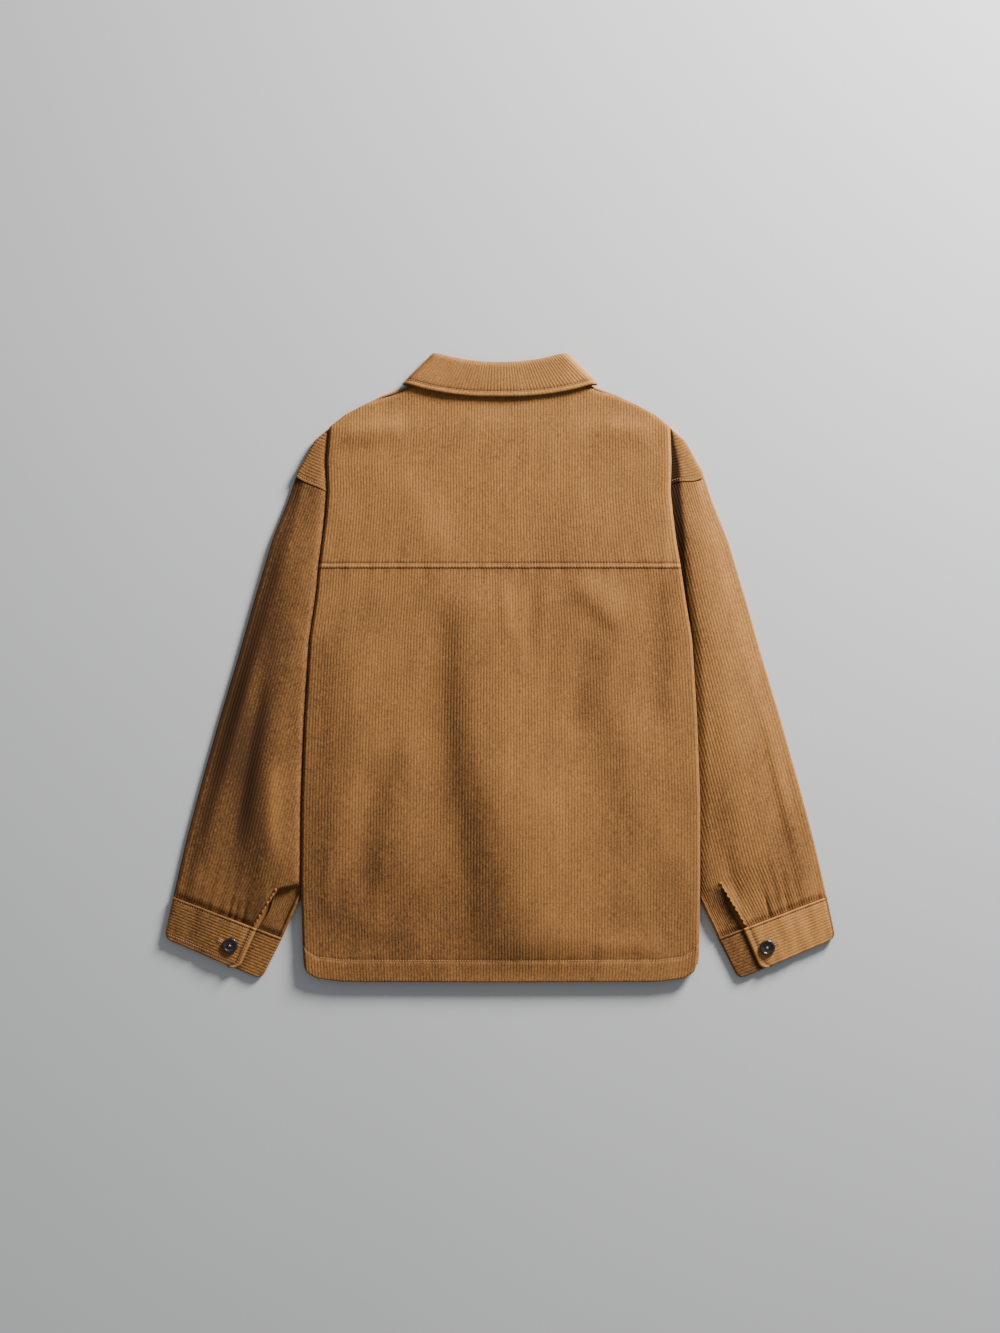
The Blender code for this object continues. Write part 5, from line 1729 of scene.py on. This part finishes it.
        places = []
        for neck_x, share in ((-5.0, 0.03), (-32.0, 0.27), (-58.0, 0.52), (-77.0, 0.76)):
            lower = np.array((neck_x, float(form.front_neck_line(np.array(neck_x))) + 2.0))
            places.append((fold_start + (fold_end - fold_start) * share + inwards, lower, low))
        for angle in np.radians(np.linspace(-90.0, 90.0, 9)):
            shift = np.array([3.0 * (1.0 - math.cos(angle)), 0.0])
            places.append((np.array((-79.3, 367.3)) + shift, np.array((-88.0, 350.5)) + shift,
                           low + half + half * math.sin(angle)))
        for share in (0.33, 0.66, 1.0):
            x = between(-85.0, -6.0, share)
            lower = np.array((x, float(form.back_neck_line(np.array(x))) + 2.0))
            upper = self.curve(((-76.3, 367.3), (-43.0, 367.4), (-6.0, 361.4)), share)
            places.append((upper, lower, high))
        sections = [np.concatenate([self.spread(upper, lower, stations), np.full((len(stations), 1), height)],
                                   axis=1) for upper, lower, height in places]
        points, wales = self.ring(sections, self.stand_wales)
        face = Face(points, wales, outward=-1)
        stand = self.finishes.piece("stand_cloth", "collar_stand", face, THICK_WALL)

    def build(self) -> None:
        """Stand and fall."""
        self.stand()
        self.fall()


@dataclass
class Buttons:
    """Four-hole buttons of the front and of the cuffs, with their thread and buttonholes."""

    finishes: Finishes
    radius: float = 9.4
    thick: float = 3.0
    hole: float = 1.05
    spacing: float = 1.75
    sides: int = 48
    front_top: float = 245.0
    front_pitch: float = 104.0
    front_count: int = 6
    front_height: float = 2.9
    cuff_places: tuple[Pair, Pair] = ((-324.0, -333.6), (320.6, -336.2))
    cuff_height: float = 9.3
    cuff_turn: float = 25.0
    cuff_thread: Colour = (214.0, 204.0, 190.0)
    slot_length: float = 19.0
    profile: Line = ((0.40, 0.55), (0.58, 0.60), (0.66, 0.80), (0.74, 0.96), (0.83, 1.0), (0.92, 0.93),
                     (0.98, 0.72), (1.0, 0.48), (0.97, 0.22), (0.88, 0.0))

    def disc(self) -> bpy.types.Mesh:
        """Turned and drilled button, its back at height 0: the profile is carried round a circle.

        Returns:
            The mesh, in millimetres.
        """
        angle = np.linspace(0.0, 2 * np.pi, self.sides, endpoint=False)
        profile = np.array(self.profile)
        radius, height = profile[:, 0] * self.radius, profile[:, 1] * self.thick
        points = np.stack([radius[:, None] * np.cos(angle)[None, :], radius[:, None] * np.sin(angle)[None, :],
                           height[:, None] + 0 * angle[None, :]], axis=-1).reshape(-1, 3)
        index = np.arange(len(points)).reshape(len(profile), self.sides)
        quads = grid_quads(np.concatenate([index, index[:, :1]], axis=1))[:, ::-1]
        faces = quads.tolist() + [index[0].tolist(), index[-1][::-1].tolist()]
        blank = add_object("button blank", add_mesh("button blank", points, faces))
        drill = add_object("button drill", self.drill())
        cut = blank.modifiers.new("holes", "BOOLEAN")
        cut.operation = "DIFFERENCE"
        cut.object = drill
        bpy.context.view_layer.update()
        made = bpy.data.meshes.new_from_object(blank.evaluated_get(bpy.context.evaluated_depsgraph_get()))
        bpy.data.objects.remove(blank)
        bpy.data.objects.remove(drill)
        return made

    def drill(self) -> bpy.types.Mesh:
        """Four separate cylinders for the holes."""
        angles = np.linspace(0.0, 2 * np.pi, 14, endpoint=False)
        count = len(angles)
        points, faces = [], []
        for sx, sy in ((-1, -1), (-1, 1), (1, -1), (1, 1)):
            start = len(points)
            for height in (-2.0, 2 * self.thick):
                points += [(sx * self.spacing + self.hole * math.cos(angle),
                            sy * self.spacing + self.hole * math.sin(angle), height) for angle in angles]
            for i in range(count):
                after = (i + 1) % count
                faces.append((start + i, start + after, start + count + after, start + count + i))
            top = start + count
            faces += [tuple(range(top - 1, start - 1, -1)), tuple(range(top, top + count))]
        return add_mesh("button drill", np.array(points), faces)

    def placed(self, source: bpy.types.Mesh, name: str, centre: Point, turn: float,
               face_down: bool) -> bpy.types.Mesh:
        """Copy of the button's mesh at its place, turned about its axis.

        Args:
            source: mesh of the button.
            name: name of the copy.
            centre: place of its back.
            turn: angle about its axis.
            face_down: whether its front looks down.

        Returns:
            The copy.
        """
        mesh = source.copy()
        mesh.name = name
        points = np.zeros(len(mesh.vertices) * 3)
        mesh.vertices.foreach_get("co", points)
        points = points.reshape(-1, 3)
        c, s = math.cos(turn), math.sin(turn)
        points = points @ np.array([[c, s, 0.0], [-s, c, 0.0], [0.0, 0.0, 1.0]])
        if face_down:
            points = points * np.array([1.0, -1.0, -1.0])
        mesh.vertices.foreach_set("co", ((points + np.array(centre)) * MM).ravel())
        mesh.update()
        mesh.shade_smooth()
        mesh.set_sharp_from_angle(angle=math.radians(38.0))
        return mesh

    def level_line(self, ends: Line, turn: float, centre: Point, height: float
                   ) -> Array:
        """Level line between two places that are turned about a centre and moved to it."""
        c, s = math.cos(turn), math.sin(turn)
        flat = np.array(ends) @ np.array([[c, s], [-s, c]]) + np.array(centre[:2])
        return np.concatenate([flat, np.full((2, 1), height)], axis=1)

    def thread_cross(self, centre: Point, turn: float, sense: float) -> list[Array]:
        """Two crossed bars of thread between the holes."""
        lines = []
        for sy in (-1, 1):
            ends = ((-self.spacing, -sy * self.spacing), (self.spacing, sy * self.spacing))
            height = centre[2] + sense * (0.55 * self.thick + 0.35 + 0.2 * sy)
            lines.append(self.level_line(ends, turn, centre, height))
        return lines

    def buttonhole(self, name: str, centre: Point, turn: float) -> bpy.types.Object:
        """Worked buttonhole: stitches laid close round a slot."""
        run = np.linspace(-0.5 * self.slot_length, 0.5 * self.slot_length, 26)
        lines = [self.level_line(((at, sense * 0.35), (at + 0.15, sense * 2.2)), turn, centre, centre[2])
                 for sense in (-1, 1) for at in run]
        return sew(name, lines, self.finishes.thread, Stitch(pitch=4.0, length=2.0, width=0.7, height=0.5))

    def button(self, source: bpy.types.Mesh, node: str, centre: Point, turn: float,
               thread: bpy.types.Material, face_down: bool) -> None:
        """One button with its thread.

        Args:
            source: mesh of the button.
            node: node of the frame that it stands for.
            centre: place of its back.
            turn: angle about its axis.
            thread: material of its thread.
            face_down: whether its front looks down.
        """
        mesh = self.placed(source, f"{node}_horn", centre, turn, face_down)
        place(f"{node}_horn", mesh, self.finishes.horn, Slot.BUTTON, (node,))
        cross = self.thread_cross(centre, turn, -1.0 if face_down else 1.0)
        sew(f"{node}_thread", cross, thread, Stitch(pitch=6.0, length=4.4, width=0.8, height=0.7))

    def build(self) -> None:
        """Every button with its thread, and the cuffs' buttonholes."""
        source = self.disc()
        for number in range(self.front_count):
            centre = (0.0, self.front_top - number * self.front_pitch, self.front_height)
            name = f"front_button_{number + 1}"
            self.button(source, name, centre, 0.3 * number, self.finishes.thread, True)
        pale = Thread(self.cuff_thread).build()
        for side in Side:
            centre = (*side.pick(*self.cuff_places), self.cuff_height)
            turn = side.value * math.radians(self.cuff_turn)
            self.button(source, f"cuff_button_{side.word}", centre, turn, pale, False)
            slot = (centre[0] + side.value * 5.0, centre[1] + 3.0, 9.5)
            self.buttonhole(f"cuff_{side.word}_buttonhole", slot, turn)


@dataclass(frozen=True)
class Studio:
    """Pale floor, soft light from the right, and a camera straight above."""

    floor_size: float = 6.0
    camera_height: float = 3.208
    lens: float = 72.0
    key_place: Point = (1.50, 1.86, 0.96)
    key_size: float = 0.85
    key_watts: float = 188.0
    key_colour: Colour = (1.0, 0.985, 0.96)
    fill_strength: float = 0.27
    fill_colour: Colour = (0.93, 0.96, 1.0)
    floor_colours: tuple[Colour, Colour] = ((206.0, 207.0, 209.0), (212.0, 213.0, 214.0))
    floor_roughness: float = 0.9
    camera_shift: float = 0.0012

    def floor(self) -> None:
        """Plain pale grey floor."""
        half = 0.5 * self.floor_size
        corners = np.array([(-half, -half, 0.0), (half, -half, 0.0), (half, half, 0.0), (-half, half, 0.0)])
        mesh = add_mesh("floor", corners, [(0, 1, 2, 3)])
        made, net, shader = new_material("pale grey floor")
        cloud = net.noise(net.object_place(), 2.0, 2.0)
        dark, pale = (linear(*colour) for colour in self.floor_colours)
        net.join(net.mix(cloud, dark, pale), shader.inputs["Base Color"])
        set_inputs(shader, {"Roughness": self.floor_roughness})
        mesh.materials.append(made)
        floor = add_object("floor", mesh)
        floor.location.z = -0.0002

    def lights(self) -> None:
        """Large soft key at the right, and an even grey surround."""
        data = bpy.data.lights.new("key", "AREA")
        data.shape = "DISK"
        data.size = self.key_size
        data.energy = self.key_watts
        data.color = self.key_colour
        key = add_object("key", data)
        spot = np.array(self.key_place)
        key.location = spot
        key.rotation_euler = (0.0, math.acos(spot[2] / np.linalg.norm(spot)), math.atan2(spot[1], spot[0]))
        world = bpy.data.worlds.new("surround")
        world.use_nodes = True
        set_inputs(world.node_tree.nodes["Background"],
                   {"Color": (*self.fill_colour, 1.0), "Strength": self.fill_strength})
        bpy.context.scene.world = world

    def camera(self) -> None:
        """Camera looking straight down; 1 pixel of the photograph is 1.2 mm of the cloth."""
        data = bpy.data.cameras.new("camera")
        data.lens = self.lens
        data.sensor_width = 36.0
        data.clip_end = 20.0
        camera = add_object("camera", data)
        camera.location = (0.0, self.camera_shift, self.camera_height)
        bpy.context.scene.camera = camera

    def build(self) -> None:
        """Floor, lights and camera."""
        self.floor()
        self.lights()
        self.camera()


def main() -> None:
    """Build the jacket's pieces in order."""
    logging.basicConfig(level=logging.INFO, format="%(message)s")
    Studio().build()
    finishes = Finishes(Corduroy().build(wale_group()), Thread().build(), Horn().build())
    form = BodyForm()
    Body(form, finishes).build()
    Sleeves(form, finishes).build()
    Cuffs(finishes).build()
    Collar(form, finishes).build()
    Buttons(finishes).build()


if __name__ == "__main__":
    main()
